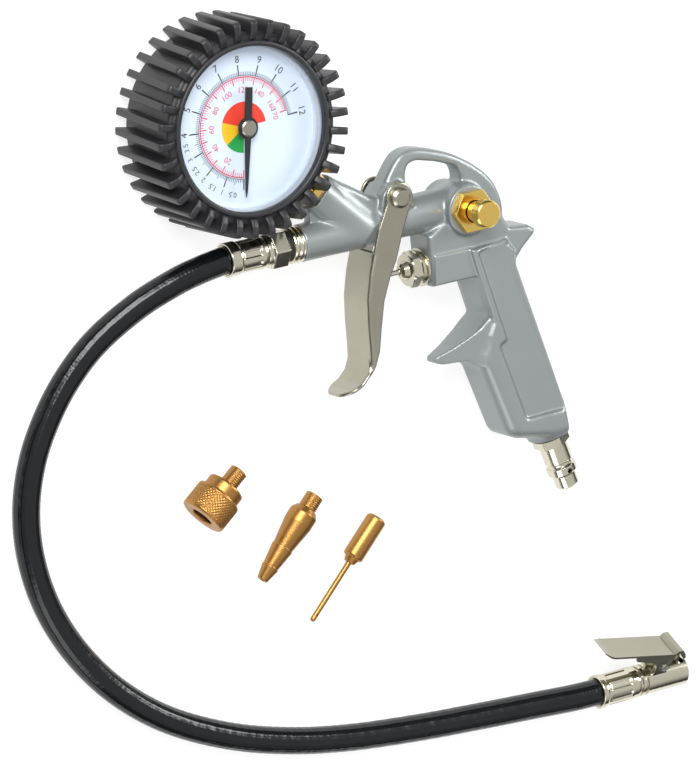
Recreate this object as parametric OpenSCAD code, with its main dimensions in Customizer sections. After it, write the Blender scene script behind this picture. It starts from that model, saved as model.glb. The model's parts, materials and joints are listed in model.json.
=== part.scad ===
// Portable tire inflator: pistol body with a dial gauge, trigger, bleed valve,
// hose, clip-on chuck and three loose adapters. All sizes are in millimetres.
// Frame: the gauge axis is the Z axis, the boot's flat back lies on z = 0,
// the dial faces +Z, the barrel runs along X and the gun's top is +Y.

/* [Node] */
// Which sub-part to show

/* [Gauge case] */
// Outer radius of the steel case
case_r = 38.6; // [25:0.1:55]
// Wall of the case
case_wall = 1.4; // [0.4:0.1:3]
// Depth from the case's rim down to the dial
dial_deep = 5.2; // [3:0.1:12]
// Thickness of the dial plate
dial_t = 0.8; // [0.3:0.1:2]
// Width of the spacer ring round the dial, from the case inwards
bezel_w = 4.7; // [2:0.1:8]

/* [Gauge boot] */
// Thickness of the boot's wall round the case
boot_wall = 1.6; // [0.8:0.1:6]
// Depth of the grooves between the ribs
rib_deep = 5.6; // [1:0.1:12]
// Height of the ribs' front corner
boot_h = 38.6; // [20:0.1:60]
// Thickness of the front lip over the case's rim
lip_t = 4.4; // [2:0.1:8]
// How far the front lip reaches in over the case
lip_in = 4.0; // [0.5:0.1:8]
// Number of ribs
rib_count = 34; // [12:1:60]
// Width of one rib
rib_w = 3.2; // [1:0.1:8]
// Angle of the first rib in degrees
rib_phase = -1.0; // [-6:0.1:6]
// Lean of the ribs in degrees
rib_lean = 5.0; // [-15:0.5:15]
// Thickness of the boot's back
boot_back = 2.2; // [0.8:0.1:5]

/* [Lens] */
// Gap between the clear lens and the boot's lip
lens_gap = 0.3; // [0.05:0.05:1]
// Depth of the lens's outer face under the ribs' front corner
lens_sunk = 1.8; // [0:0.1:6]
// Thickness of the lens
lens_t = 2.6; // [1:0.1:6]
// Wall of the lens's raised rim
lens_wall = 1.2; // [0.6:0.1:4]

/* [Gauge works] */
// Height of the middle of the Bourdon tube and the stem
stem_z = 19.0; // [10:0.1:30]
// Radius of the Bourdon tube's bend
bourdon_r = 28.0; // [15:0.1:35]
// Sweep of the Bourdon tube in degrees
bourdon_sweep = 248; // [180:1:300]
// Width of the Bourdon tube along the gauge axis
bourdon_w = 9.0; // [3:0.1:14]
// Thickness of the Bourdon tube
bourdon_t = 2.6; // [1:0.1:5]
// Gear module of the movement
gear_module = 0.4; // [0.2:0.05:1]
// Teeth on the pinion
pinion_teeth = 12; // [8:1:24]
// Teeth on a full circle of the sector
sector_teeth = 72; // [40:1:120]
// Thickness of the sector
sector_t = 1.2; // [0.5:0.1:3]
// Height of the sector's lower face
sector_z = 16.6; // [8:0.1:24]
// Radius of the arbor
arbor_r = 0.9; // [0.4:0.05:2]
// Height of the pointer's lower face above the dial
pointer_lift = 3.2; // [1:0.1:5]
// Length of the pointer from its axis to its tip
pointer_len = 29.0; // [15:0.1:34]
// Length of the pointer's tail
pointer_tail = 17.0; // [4:0.1:25]
// Width of the pointer's tail
pointer_w = 3.3; // [1:0.1:8]
// Angle of the dial's zero from +X in degrees
zero_angle = -98.5; // [-180:0.5:180]
// Radius of the pointer's round hub
hub_r = 3.5; // [1.5:0.1:8]

/* [Gauge stem] */
// Angle of the stem from +X in degrees
stem_angle = -45; // [-180:1:180]
// Radius of the visible collar
stem_collar_r = 7.5; // [4:0.1:12]
// Radius of the threaded end
stem_thread_r = 6.45; // [3:0.05:10]
// Length of the threaded end
stem_thread_len = 9.0; // [4:0.1:16]
// Gap between the boot and the casting's boss, which shows the stem's collar
boss_gap = 5.0; // [2:0.1:12]
// Distance along the stem from the boot to the barrel's axis
stem_reach = 33.4; // [25:0.1:50]

/* [Body casting] */
// Radius of the barrel's nose
nose_r = 8.0; // [5:0.05:12]
// Position X of the nose's end
nose_x = 25.4; // [0:0.1:50]
// Radius of the barrel's rear half
rear_r = 8.8; // [5:0.05:14]
// Radius of the gauge boss
boss_r = 8.8; // [5:0.1:14]
// Half thickness of the hanging arch
arch_half = 5.2; // [3:0.1:10]
// Half thickness of the upper body
body_half = 8.6; // [5:0.1:14]
// Half thickness of the grip
grip_half = 11.4; // [6:0.1:18]
// Rounding along the grip's front
grip_front_round = 6.5; // [1:0.1:10]
// Half thickness of the finger spur at its tip
spur_tip = 3.8; // [2:0.1:8]
// Half thickness of the finger spur at its root
spur_root = 10.0; // [4:0.1:11]
// Half width of the lug that carries the trigger
lug_half = 8.2; // [5:0.1:12]
// Depth of the panel in the grip's sides
panel_deep = 0.8; // [0.2:0.1:2]
// Radius of the air passage in the barrel
barrel_bore_r = 3.5; // [1.5:0.1:5]
// Radius of the air passage in the grip
grip_bore_r = 4.0; // [1.5:0.1:6]
// Distance of the valve chamber's axis below the barrel's axis
valve_drop = 22.0; // [16:0.1:30]
// Radius of the valve chamber
chamber_r = 5.5; // [3:0.1:7]
// Position X of the valve block's front face
block_x = 84.5; // [70:0.1:96]
// Position X of the valve chamber's closed end
chamber_end = 123.5; // [110:0.1:126]

/* [Trigger] */
// Position X of the pivot
pivot_x = 71.0; // [60:0.1:85]
// Distance of the pivot above the barrel's axis
pivot_rise = 12.0; // [8:0.1:18]
// Radius of the pivot pin
pivot_r = 2.0; // [1:0.05:4]
// Radius of the pin's head
pin_head_r = 4.4; // [2.5:0.1:7]
// Thickness of the lever's sheet
lever_t = 1.5; // [0.8:0.1:3]
// Half width inside the lever's channel
lever_in = 9.1; // [6:0.1:12]
// Radius of the lever's ears
ear_r = 6.6; // [4:0.1:10]

/* [Valve] */
// Width across the flats of the gland nut
gland_af = 14.0; // [8:0.1:22]
// Length of the gland nut's hexagon
gland_len = 9.2; // [4:0.1:16]
// Radius of the push rod
rod_r = 1.25; // [0.6:0.05:3]
// Gap between the push rod's tip and the lever's web
rod_gap = 0.65; // [0.05:0.05:1]
// Radius of the poppet
poppet_r = 4.3; // [2:0.1:5.2]
// Mean radius of the valve spring
valve_spring_r = 3.4; // [2:0.1:5]
// Wire radius of the valve spring
valve_wire_r = 0.45; // [0.2:0.05:0.8]

/* [Bleed valve] */
// Position X of the bleed valve
bleed_x = 104.5; // [90:0.1:115]
// Radius of the casting's round pad under the bleed valve
pad_r = 10.8; // [8:0.1:15]
// Height of the pad
pad_z = 30.5; // [25:0.1:36]
// Width across the flats of the bleed bush
bleed_af = 17.0; // [10:0.1:24]
// Height of the bleed bush's hexagon
bleed_hex_h = 3.8; // [2:0.1:8]
// Radius of the bleed button's head
button_r = 6.0; // [3:0.1:10]
// Height of the bleed button's end
button_top = 45.0; // [38:0.1:55]
// Radius of the bleed button's neck
button_neck_r = 4.5; // [2:0.1:8]

/* [Air inlet] */
// Width across the flats of the inlet nipple's hexagon
inlet_af = 14.0; // [8:0.1:22]
// Length from the casting to the end of the hexagon
inlet_hex_len = 4.8; // [3:0.1:12]
// Radius of the nipple's body
inlet_body_r = 6.2; // [3:0.1:9]
// Length from the casting to the end of the nipple's body
inlet_body_len = 13.6; // [8:0.1:20]
// Radius of the groove behind the nipple's collar
inlet_neck_r = 5.6; // [3:0.1:9]
// Length from the casting to the collar
inlet_neck_len = 15.4; // [9:0.1:24]
// Radius of the nipple's collar
inlet_collar_r = 6.6; // [4:0.1:10]
// Length from the casting to the collar's end
inlet_collar_len = 19.6; // [12:0.1:30]
// Radius of the nipple's plug end
inlet_tip_r = 5.2; // [3:0.1:9]
// Length of the nipple outside the casting
inlet_len = 25.6; // [14:0.1:40]

/* [Hose] */
// Outer radius of the hose
hose_r = 6.0; // [3:0.1:10]
// Number of sides of the hose's rings
hose_sides = 12; // [8:1:12]
// Width across the flats of the hose fitting at the gun
hose_af = 15.0; // [8:0.1:22]
// Corner radius of the crimped ferrules
ferrule_r = 7.6; // [6.2:0.1:11]
// Radius of the round skirts of the ferrules, round the hose's ends
skirt_r = 8.3; // [6.5:0.1:12]
// Length of the ferrule at the gun
ferrule_len = 18.2; // [10:0.1:30]
// Radius of the hose barbs inside the ferrules
barb_r = 3.6; // [2:0.1:5.5]

/* [Chuck] */
// Radius of the skirt of the chuck's ferrule
chuck_skirt_r = 7.5; // [6.3:0.1:10]
// Length of the chuck's ferrule
chuck_ferrule_len = 20.0; // [10:0.1:30]
// Radius of the chuck's body
chuck_r = 6.9; // [5.2:0.1:9]
// Length of the chuck from the hose's end to its mouth
chuck_len = 45.4; // [36:0.1:60]
// Radius of the mouth
mouth_r = 4.1; // [3:0.05:4.6]
// Depth of the mouth, down to its rubber seal
mouth_deep = 13.0; // [8:0.1:18]
// Roll of the chuck about its axis in degrees
chuck_roll = 30.5; // [-90:0.5:90]
// Distance of the thumb lever's pin from the mouth
thumb_pin_x = 15.9; // [10:0.1:25]
// Height of the thumb lever's pin over the chuck's axis
thumb_pin_y = 11.0; // [8:0.1:16]
// Slope of the thumb lever in degrees
thumb_slope = 14.2; // [0:0.1:30]
// Length of the thumb lever
thumb_len = 39.8; // [20:0.1:60]
// Width of the thumb lever
thumb_w = 13.0; // [6:0.1:16]
// Thickness of the thumb lever's sheet
thumb_t = 1.1; // [0.6:0.1:2.5]

/* [Adapters] */
// Radius of the valve adapter's knurled body
adapter_r = 10.2; // [7:0.1:13]
// Length of the knurled body
adapter_body_len = 12.1; // [8:0.1:20]
// Radius of the valve adapter's shoulder
adapter_step_r = 8.4; // [5:0.1:11]
// Length from the mouth to the shoulder's end
adapter_step_len = 17.4; // [12:0.1:26]
// Length of the valve adapter
adapter_len = 25.8; // [18:0.1:35]
// Radius of the valve adapter's mouth
adapter_mouth_r = 4.8; // [3:0.05:6]
// Depth of the valve adapter's mouth, down to its seal
adapter_mouth_deep = 8.6; // [4:0.1:12]
// Radius of the threaded ends of the valve adapter and the taper nozzle
adapter_thread_r = 4.0; // [2:0.05:6]
// Length of the taper nozzle
nozzle_len = 42.8; // [25:0.1:60]
// Radius of the taper nozzle's flange
nozzle_flange_r = 6.3; // [4.5:0.1:10]
// Radius of the taper nozzle's tip
nozzle_tip_r = 2.4; // [1:0.1:3.4]
// Length of the ball needle
needle_len = 53.0; // [30:0.1:70]
// Radius of the ball needle's tube
needle_r = 1.2; // [0.5:0.05:2]
// Radius of the ball needle's head
needle_head_r = 4.5; // [2.5:0.1:7]
// Length of the ball needle's head
needle_head_len = 20.6; // [8:0.1:30]

/* [Clearances] */
// Radial gap of running fits
run_gap = 0.05; // [0.01:0.01:0.1]
// Gap between a stop and the piece that would meet it
stop_gap = 0.1; // [0.02:0.01:0.5]
// Radial gap round pieces that only pass through a hole
pass_gap = 0.3; // [0.1:0.05:1]
// Height of the loose pieces above the floor
floor_gap = 0.05; // [0:0.01:0.5]

/* [Hidden] */
$fn = 64;
STEEL = [0.72, 0.72, 0.70];
BRASS = [0.80, 0.62, 0.30];
CAST = [0.62, 0.66, 0.67];
RUBBER = [0.05, 0.05, 0.05];
boot_core_r = case_r + boot_wall;
boot_r = boot_core_r + rib_deep;
lip_r = case_r - lip_in;
case_top = boot_h - lip_t;
bezel_top = case_top - 2.5;
bezel_r = case_r - bezel_w;
lens_r = lip_r - lens_gap;
lens_top = boot_h - lens_sunk;
dial_z = case_top - dial_deep;
pointer_z = dial_z + pointer_lift;
pinion_r = gear_module * pinion_teeth / 2;
sector_r = gear_module * sector_teeth / 2;
centre_gap = pinion_r + sector_r;
sector_dir = 135;
collar_start = boot_r + 0.6;
boss_start = boot_r + boss_gap;
mid_z = stem_z;
barrel_end = bleed_x + 4;
tangent_x = 51.83 + lever_t * 1.03;
seat_x = 100.0;
seat_len = 4.0;
bleed_floor = 20.2;
spring_seat_z = 27.0;

// The gun's outlines are drawn with the point where the stem's axis meets the barrel's axis here
drawn_at = [56.0, -56.0];
stem_out = boot_r + stem_reach;
gun_shift = [stem_out * cos(stem_angle), stem_out * sin(stem_angle)] - drawn_at;
barrel_y = drawn_at[1];
valve_y = barrel_y - valve_drop;
pivot_y = barrel_y + pivot_rise;
inlet_angle = -73.4;
inlet_pos = [139.2, -162.8];
ferrule_x1 = 7.9;
ferrule_x0 = ferrule_x1 - ferrule_len;
chuck_pos = [157.5, -285.4];
chuck_turn = 0.2;
chuck_z = chuck_skirt_r + 0.1;
adapter_pos = [-29.6, -163.9];
adapter_turn = 37.8;
nozzle_pos = [-1.9, -198.2];
nozzle_turn = 45.2;
needle_pos = [21.0, -222.0];
needle_turn = 44.7;

// Outline of the arch and the upper body, seen from the dial's side
ARCH = [[60.0, -47.5], [65.6, -40.9], [71.8, -32.0], [76.2, -27.4], [81.2, -25.7],
        [86.9, -26.3], [99.4, -30.3], [108.9, -35.6], [117.1, -42.0], [122.2, -48.2],
        [124.7, -55.3], [125.2, -60.0], [124.8, -66.0], [100.0, -72.0], [86.0, -62.0],
        [62.0, -58.0]];
ARCH_HOLE = [[77.6, -45.8], [77.4, -35.0], [79.4, -31.2], [84.2, -30.3], [94.2, -32.8],
             [104.4, -36.6], [106.2, -40.3], [106.1, -45.8]];
// Outline of the upper body and the grip, and of the thicker layers inside it
OUTLINE = [[block_x, -64.0], [block_x, -86.0], [106.0, -86.0], [106.9, -91.0], [110.0, -105.0],
           [103.2, -119.0], [102.8, -122.6], [112.7, -155.2], [114.0, -157.7], [117.3, -160.1],
           [124.8, -161.8], [148.0, -162.7], [127.1, -85.0], [127.3, -82.4], [130.6, -78.7],
           [137.2, -73.3], [137.9, -71.2], [134.8, -68.8], [125.2, -67.6], [121.3, -60.0],
           [110.0, -56.0], [95.0, -58.0]];
GRIP_TOP = [[107.8, -86.5], [108.2, -91.0], [112.0, -107.0], [113.5, -125.0],
            [135.2, -125.0], [125.5, -86.5]];
GRIP = [[111.2, -107.5], [104.9, -119.5], [104.4, -122.4], [114.0, -154.6], [115.2, -156.6],
        [118.0, -158.8], [125.0, -160.4], [146.5, -161.3], [131.6, -107.5]];
SPUR = [[111.0, -103.5], [106.6, -106.6], [102.0, -110.0], [92.8, -114.6], [85.0, -117.5],
        [84.2, -118.8], [84.8, -120.0], [87.4, -120.9], [97.9, -121.0], [104.0, -125.0],
        [113.0, -125.0]];
PANEL = [[113.2, -116.8], [117.6, -115.6], [112.6, -92.0], [124.8, -90.0], [140.0, -151.0],
         [122.7, -150.8]];
// Web between the gauge boss and the trigger's lug, and the gusset under it
WEB = [[42.4, -29.7], [51.4, -35.0], [59.3, -40.0], [64.0, -42.3], [66.0, -56.0],
       [50.0, -56.0]];
GUSSET = [[30.0, -42.0], [30.0, -52.0], [58.0, -56.0], [50.0, -44.0], [37.0, -35.0]];
// Outline of the lug that carries the trigger's pin
LUG = [[62.5, -47.0], [64.5, -41.5], [67.5, -38.6], [74.0, -37.6], [78.0, -41.0], [80.0, -50.0],
       [64.0, -52.0]];
// Outline of the trigger's side plates
LEVER_SIDE = [[64.6, -45.5], [59.3, -55.7], [56.3, -63.9], [52.7, -74.1], [50.3, -84.4],
              [49.5, -95.2], [49.3, -106.0], [48.9, -112.0], [51.6, -114.0],
              [53.9, -107.1], [56.1, -96.6], [58.6, -86.2], [62.9, -76.2], [66.4, -70.4],
              [70.4, -60.2], [74.0, -52.1], [77.4, -45.8]];
// Strip of the trigger's web, seen from the side
LEVER_WEB = [[56.0, -64.8], [52.7, -74.1], [50.3, -84.4], [49.5, -95.2], [49.3, -106.0],
             [48.8, -112.0], [47.0, -116.0], [43.5, -119.2], [39.0, -121.3], [34.6, -122.6],
             [35.1, -124.1], [39.5, -122.8], [44.4, -120.5], [48.3, -116.9], [50.3, -112.4],
             [50.8, -106.1], [51.0, -95.3], [51.8, -84.6], [54.15, -74.5], [57.45, -65.3]];
// Points that the hose passes through, from the gun to the chuck
ROUTE = [[ferrule_x0 - 1, barrel_y, mid_z], [-22.0, -57.6, 18.7], [-34.0, -60.7, 17.2],
         [-51.3, -67.8, 14.0], [-69.6, -78.9, 10.6], [-82.9, -91.2, 8.3], [-94.0, -105.4, 7.0],
         [-103.8, -123.4, 6.3], [-109.4, -143.7, 6.1], [-109.7, -165.3, 6.1],
         [-104.2, -188.1, 6.1], [-92.6, -210.4, 6.1], [-75.6, -230.7, 6.1],
         [-53.4, -247.8, 6.1], [-25.5, -261.4, 6.1], [3.3, -270.4, 6.1], [32.6, -276.1, 6.1],
         [67.3, -280.0, 6.1], [99.5, -282.4, 6.2], [125.4, -284.0, 6.6],
         [144.5, -285.1, 7.3], [chuck_pos[0] - 1, chuck_pos[1], chuck_z]];
hose_steps = 3;

// One point of a smooth curve through four neighbours, at the share t of its middle
function smooth(a, b, c, d, t) = 0.5 * ((2 * b) + (c - a) * t + (2 * a - 5 * b + 4 * c - d) * t * t
  + (3 * b - a - 3 * c + d) * t * t * t);
function unit(v) = v / norm(v);
// The points of a smooth line through all points of a list
function fine(p, n) = [for (i = [0 : len(p) - 2], k = [0 : n - 1])
  smooth(i == 0 ? 2 * p[0] - p[1] : p[i - 1], p[i], p[i + 1],
         i + 2 < len(p) ? p[i + 2] : 2 * p[i + 1] - p[i], k / n), p[len(p) - 1]];
// Direction of a line of points at its point i
function heading(p, i) = unit(p[min(i + 1, len(p) - 1)] - p[max(i - 1, 0)]);

// A round tube swept along a line of points that is never upright
module sweep(p, r, n) {
  rings = [for (i = [0 : len(p) - 1], k = [0 : n - 1])
    let (t = heading(p, i), s = unit(cross([0, 0, 1], t)), u = cross(t, s))
    p[i] + r * (cos(360 * k / n) * s + sin(360 * k / n) * u)];
  walls = [for (i = [0 : len(p) - 2], k = [0 : n - 1], h = [0, 1])
    h == 0 ? [i * n + k, i * n + (k + 1) % n, (i + 1) * n + k]
           : [i * n + (k + 1) % n, (i + 1) * n + (k + 1) % n, (i + 1) * n + k]];
  ends = [[for (k = [n - 1 : -1 : 0]) k],
          [for (k = [0 : n - 1]) (len(p) - 1) * n + k]];
  polyhedron(points = rings, faces = concat(walls, ends), convexity = 8);
}

// A coil spring along Z from zero to its length
module coil(r, wire, length, turns) {
  p = [for (i = [0 : turns * 14]) [r * cos(360 * i / 14), r * sin(360 * i / 14),
    wire + (length - 2 * wire) * i / (turns * 14)]];
  sweep(p, wire, 6);
}

// A cylinder along X from x0 to x1
module bar(x0, x1, r) {
  translate([x0, 0, 0]) rotate([0, 90, 0]) cylinder(h = x1 - x0, r = r);
}

// A cone along X from x0 to x1
module cone(x0, x1, ra, rb) {
  translate([x0, 0, 0]) rotate([0, 90, 0]) cylinder(h = x1 - x0, r1 = ra, r2 = rb);
}

// A hexagon bar along X, given by its width across the flats
module hex_bar(x0, x1, af) {
  translate([x0, 0, 0]) rotate([0, 90, 0]) cylinder(h = x1 - x0, r = af / sqrt(3), $fn = 6);
}

// A ring along X
module ring_bar(x0, x1, r_out, r_in) {
  difference() {
    bar(x0, x1, r_out);
    bar(x0 - 1, x1 + 1, r_in);
  }
}

// A round ring or torus about X
module torus_x(x, r, wire) {
  translate([x, 0, 0]) rotate([0, 90, 0])
    rotate_extrude() translate([r, 0]) circle(r = wire, $fn = 24);
}

// A plate with an outline in the XY plane, equally thick on both sides of the middle plane
module slab(outline, half) {
  translate([0, 0, mid_z - half]) linear_extrude(height = 2 * half) polygon(outline);
}

// Material that rounds both long edges of a plate along the line from p to q,
// with the plate on the line's left
module edge_round(p, q, half, r, before, after) {
  run = norm(q - p);
  for (s = [0, 1])
    translate([p[0], p[1], mid_z]) rotate([0, 0, atan2(q[1] - p[1], q[0] - p[0])])
      mirror([0, 0, s]) difference() {
        translate([-before, -2, half - r]) cube([run + before + after, 2 + r, r + 2]);
        translate([-before - 1, r, half - r]) rotate([0, 90, 0])
          cylinder(h = run + before + after + 2, r = r, $fn = 48);
      }
}

// Places its children, drawn in the outlines' coordinates, on the gun
module on_gun() {
  translate([gun_shift[0], gun_shift[1], 0]) children();
}

// Places its children on the barrel's axis, with X along the barrel
module on_barrel() {
  on_gun() translate([0, barrel_y, mid_z]) children();
}

// Places its children on the valve's axis
module on_valve() {
  on_gun() translate([0, valve_y, mid_z]) children();
}

// Places its children on the inlet's axis, with X pointing out of the grip
module on_inlet() {
  on_gun() translate([inlet_pos[0], inlet_pos[1], mid_z]) rotate([0, 0, inlet_angle]) children();
}

// Places its children on the trigger's pivot
module on_pivot() {
  on_gun() translate([pivot_x, pivot_y, 0]) children();
}

// Places its children on the bleed valve's axis
module on_bleed() {
  on_gun() translate([bleed_x, barrel_y, 0]) children();
}

// Places its children on the gauge stem's axis, with X pointing away from the gauge
module on_stem() {
  translate([0, 0, stem_z]) rotate([0, 0, stem_angle]) children();
}

// Places its children on the chuck's axis, with X towards its mouth and Y towards its lever
module on_chuck() {
  translate([chuck_pos[0], chuck_pos[1], chuck_z])
    rotate([0, 0, chuck_turn]) rotate([chuck_roll, 0, 0]) children();
}

module outline_blank() {
  difference() {
    slab(OUTLINE, body_half);
    edge_round(OUTLINE[2], OUTLINE[3], body_half, 2.6, 0, 1);
    edge_round(OUTLINE[3], OUTLINE[4], body_half, 2.6, 0, 0);
    edge_round(OUTLINE[4], OUTLINE[5], body_half, 2.6, 0, 1);
    edge_round(OUTLINE[5], OUTLINE[6], body_half, grip_front_round, 0, 1);
    edge_round(OUTLINE[6], OUTLINE[7], body_half, grip_front_round, 1, 1);
    edge_round(OUTLINE[7], OUTLINE[8], body_half, grip_front_round, 1, 1);
  }
}

module grip_top_blank() {
  difference() {
    slab(GRIP_TOP, grip_half - 1);
    edge_round(GRIP_TOP[1], GRIP_TOP[2], grip_half - 1, 2.6, 2, 0);
    edge_round(GRIP_TOP[4], GRIP_TOP[5], grip_half - 1, 4.0, 0, 2);
  }
}

module grip_blank() {
  difference() {
    slab(GRIP, grip_half);
    edge_round(GRIP[0], GRIP[1], grip_half, 4.0, 2, 2);
    edge_round(GRIP[2], GRIP[3], grip_half, 4.0, 1, 2);
    edge_round(GRIP[6], GRIP[7], grip_half, 2.5, 1, 4);
    for (s = [0, 1])
      translate([0, 0, mid_z]) mirror([0, 0, s]) translate([0, 0, grip_half - panel_deep])
        linear_extrude(height = 4) polygon(PANEL);
  }
}

// The finger spur, which narrows in plan from its root to its tip
module spur_blank() {
  intersection() {
    slab(SPUR, spur_root);
    translate([0, -100, mid_z]) rotate([90, 0, 0]) linear_extrude(height = 40)
      polygon([[82.0, -spur_tip + 1.6], [85.0, -spur_tip], [106.0, -spur_root], [120.0, -spur_root],
        [120.0, spur_root], [106.0, spur_root], [85.0, spur_tip], [82.0, spur_tip - 1.6]]);
  }
}

module casting_blank() {
  on_barrel() cone(nose_x, 66, nose_r, nose_r + 0.3);
  translate([0, 1.2, 0]) on_barrel() bar(62, barrel_end, rear_r);
  on_stem() bar(boss_start, stem_out + 0.8, boss_r);
  on_bleed() translate([0, 0, 2 * mid_z - pad_z])
    cylinder(h = 2 * (pad_z - mid_z), r = pad_r);
  on_gun() {
    difference() {
      slab(ARCH, arch_half);
      translate([0, 0, -1]) linear_extrude(height = 60) polygon(ARCH_HOLE);
      for (i = [1 : 9])
        edge_round(ARCH[i + 1], ARCH[i], arch_half, 1.6, 1, 1);
    }
    outline_blank();
    slab(WEB, 6.0);
    slab(GUSSET, 2.6);
    slab(LUG, lug_half);
    grip_top_blank();
    grip_blank();
    spur_blank();
  }
  on_inlet() bar(-4, 0, 9.4);
}

module casting_bores() {
  on_barrel() bar(nose_x - 1, barrel_end - 3, barrel_bore_r);
  on_barrel() bar(nose_x - 1, nose_x + 9, 5.5);
  on_stem() bar(boss_start - 1, stem_out, 2.5);
  on_stem() bar(boss_start - 1, boss_start + stem_thread_len + 1, stem_thread_r);
  on_bleed() translate([0, 0, bleed_floor - 7.4]) cylinder(h = 8, r = 4.8);
  on_bleed() translate([0, 0, bleed_floor]) cylinder(h = 20, r = 6.5);
  on_valve() bar(block_x - 1, chamber_end, chamber_r);
  on_valve() translate([97.6, 0, 0]) rotate([-90, 0, 0]) cylinder(h = valve_drop, r = 2.0);
  on_inlet() bar(0, 6, 9.4);
  on_inlet() bar(-87, 1, grip_bore_r);
  on_inlet() bar(-9, 1, 6.0);
  on_pivot() cylinder(h = 60, r = pivot_r);
}

module body_casting() {
  color(CAST) difference() {
    union() casting_blank();
    casting_bores();
  }
}

module inlet_nipple() {
  color(STEEL) on_inlet() difference() {
    union() {
      bar(-8, 0.8, 6.0);
      hex_bar(0.8, inlet_hex_len, inlet_af);
      bar(inlet_hex_len, inlet_body_len - 0.6, inlet_body_r);
      cone(inlet_body_len - 0.6, inlet_body_len, inlet_body_r, inlet_neck_r);
      bar(inlet_body_len, inlet_neck_len, inlet_neck_r);
      cone(inlet_neck_len - 0.8, inlet_neck_len, inlet_neck_r, inlet_collar_r);
      bar(inlet_neck_len, inlet_collar_len - 1.2, inlet_collar_r);
      cone(inlet_collar_len - 1.2, inlet_collar_len, inlet_collar_r, inlet_tip_r);
      bar(inlet_collar_len, inlet_len - 1.0, inlet_tip_r);
      cone(inlet_len - 1.0, inlet_len, inlet_tip_r, inlet_tip_r - 0.9);
    }
    bar(-9, inlet_len + 1, 3.2);
    translate([inlet_collar_len - 2.2, 0, -10]) cylinder(h = 20, r = 1.2);
  }
}

module nipple_seal() {
  color(RUBBER) on_inlet() ring_bar(0, 0.8, 8.0, 6.0 + 0.02);
}

module valve_gland_nut() {
  color(STEEL) on_valve() difference() {
    union() {
      hex_bar(block_x - gland_len, block_x - 1.4, gland_af);
      bar(block_x - 1.4, block_x, gland_af / 2 + 0.9);
      bar(block_x, block_x + 7, chamber_r);
      cone(block_x - gland_len - 2.2, block_x - gland_len, 3.4, 4.6);
    }
    bar(block_x - gland_len - 3, block_x + 8, rod_r + run_gap);
    bar(block_x + 3.6, block_x + 8, 2.7);
  }
}

module gland_oring() {
  color(RUBBER) on_valve() ring_bar(block_x + 3.7, block_x + 6.4, 2.65, rod_r + run_gap);
}

module valve_seat() {
  color(BRASS) on_valve() difference() {
    ring_bar(seat_x, seat_x + seat_len, chamber_r, 2.6);
    cone(seat_x + seat_len - 1, seat_x + seat_len + 0.1, 2.6, 3.3);
  }
}

module valve_stem() {
  color(STEEL) on_valve() {
    bar(tangent_x + rod_gap, 110, rod_r);
    bar(tangent_x + rod_gap, tangent_x + rod_gap + 2.2, rod_r + 0.9);
    bar(108.6, 110.0, 3.0);
  }
}

module valve_poppet() {
  color(RUBBER) on_valve() difference() {
    bar(seat_x + seat_len + stop_gap, 108.6, poppet_r);
    bar(90, 112, rod_r);
  }
}

module valve_spring() {
  color(STEEL) on_valve() translate([110.1, 0, 0]) rotate([0, 90, 0])
    coil(valve_spring_r, valve_wire_r, chamber_end - 110.2, 5);
}

module lever_pivot_pin() {
  color(STEEL) on_pivot() difference() {
    union() {
      translate([0, 0, mid_z - lever_in - lever_t - 2.6])
        cylinder(h = 2 * (lever_in + lever_t) + 2.6 + stop_gap, r = pivot_r);
      translate([0, 0, mid_z + lever_in + lever_t + stop_gap]) cylinder(h = 1.3, r = pin_head_r);
      translate([0, 0, mid_z + lever_in + lever_t + stop_gap + 1.3])
        cylinder(h = 0.9, r1 = pin_head_r, r2 = pin_head_r - 1.2);
    }
    translate([0, 0, mid_z - lever_in - lever_t - 1.0]) difference() {
      cylinder(h = 0.7, r = 5);
      translate([0, 0, -1]) cylinder(h = 3, r = pivot_r - 0.45);
    }
  }
}

module pin_clip() {
  color(STEEL) on_pivot() translate([0, 0, mid_z - lever_in - lever_t - 0.98])
    linear_extrude(height = 0.66) difference() {
      circle(r = 4.1);
      circle(r = pivot_r - 0.42);
      translate([-1.1, -6]) square([2.2, 6]);
    }
}

module trigger_lever() {
  color(STEEL) on_gun() difference() {
    union() {
      for (z = [mid_z - lever_in - lever_t, mid_z + lever_in])
        translate([0, 0, z]) linear_extrude(height = lever_t) {
          polygon(LEVER_SIDE);
          translate([pivot_x, pivot_y]) circle(r = ear_r);
        }
      slab(LEVER_WEB, lever_in + lever_t);
    }
    translate([pivot_x, pivot_y, 0]) cylinder(h = 60, r = pivot_r + run_gap);
    difference() {
      translate([20, -130, 0]) cube([24.8, 30, 60]);
      translate([44.8, -90, mid_z]) rotate([90, 0, 0]) cylinder(h = 60, r = lever_in + lever_t);
    }
  }
}

module bleed_bush() {
  color(BRASS) on_bleed() difference() {
    union() {
      translate([0, 0, bleed_floor]) cylinder(h = pad_z - bleed_floor, r = 6.5);
      translate([0, 0, pad_z]) cylinder(h = bleed_hex_h, r = bleed_af / sqrt(3), $fn = 6);
    }
    translate([0, 0, bleed_floor - 1]) cylinder(h = 30, r = 2.7);
    translate([0, 0, spring_seat_z]) cylinder(h = 30, r = button_neck_r + pass_gap);
  }
}

module bleed_stem() {
  color(BRASS) on_bleed() {
    translate([0, 0, 17.2]) cylinder(h = 25, r = 2.0);
    translate([0, 0, 16.6]) cylinder(h = 1.5, r = 3.4);
  }
}

module bleed_seal() {
  color(RUBBER) on_bleed() translate([0, 0, 18.1]) difference() {
    cylinder(h = bleed_floor - 18.1 - stop_gap, r = 4.0);
    translate([0, 0, -1]) cylinder(h = 5, r = 2.0);
  }
}

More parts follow.
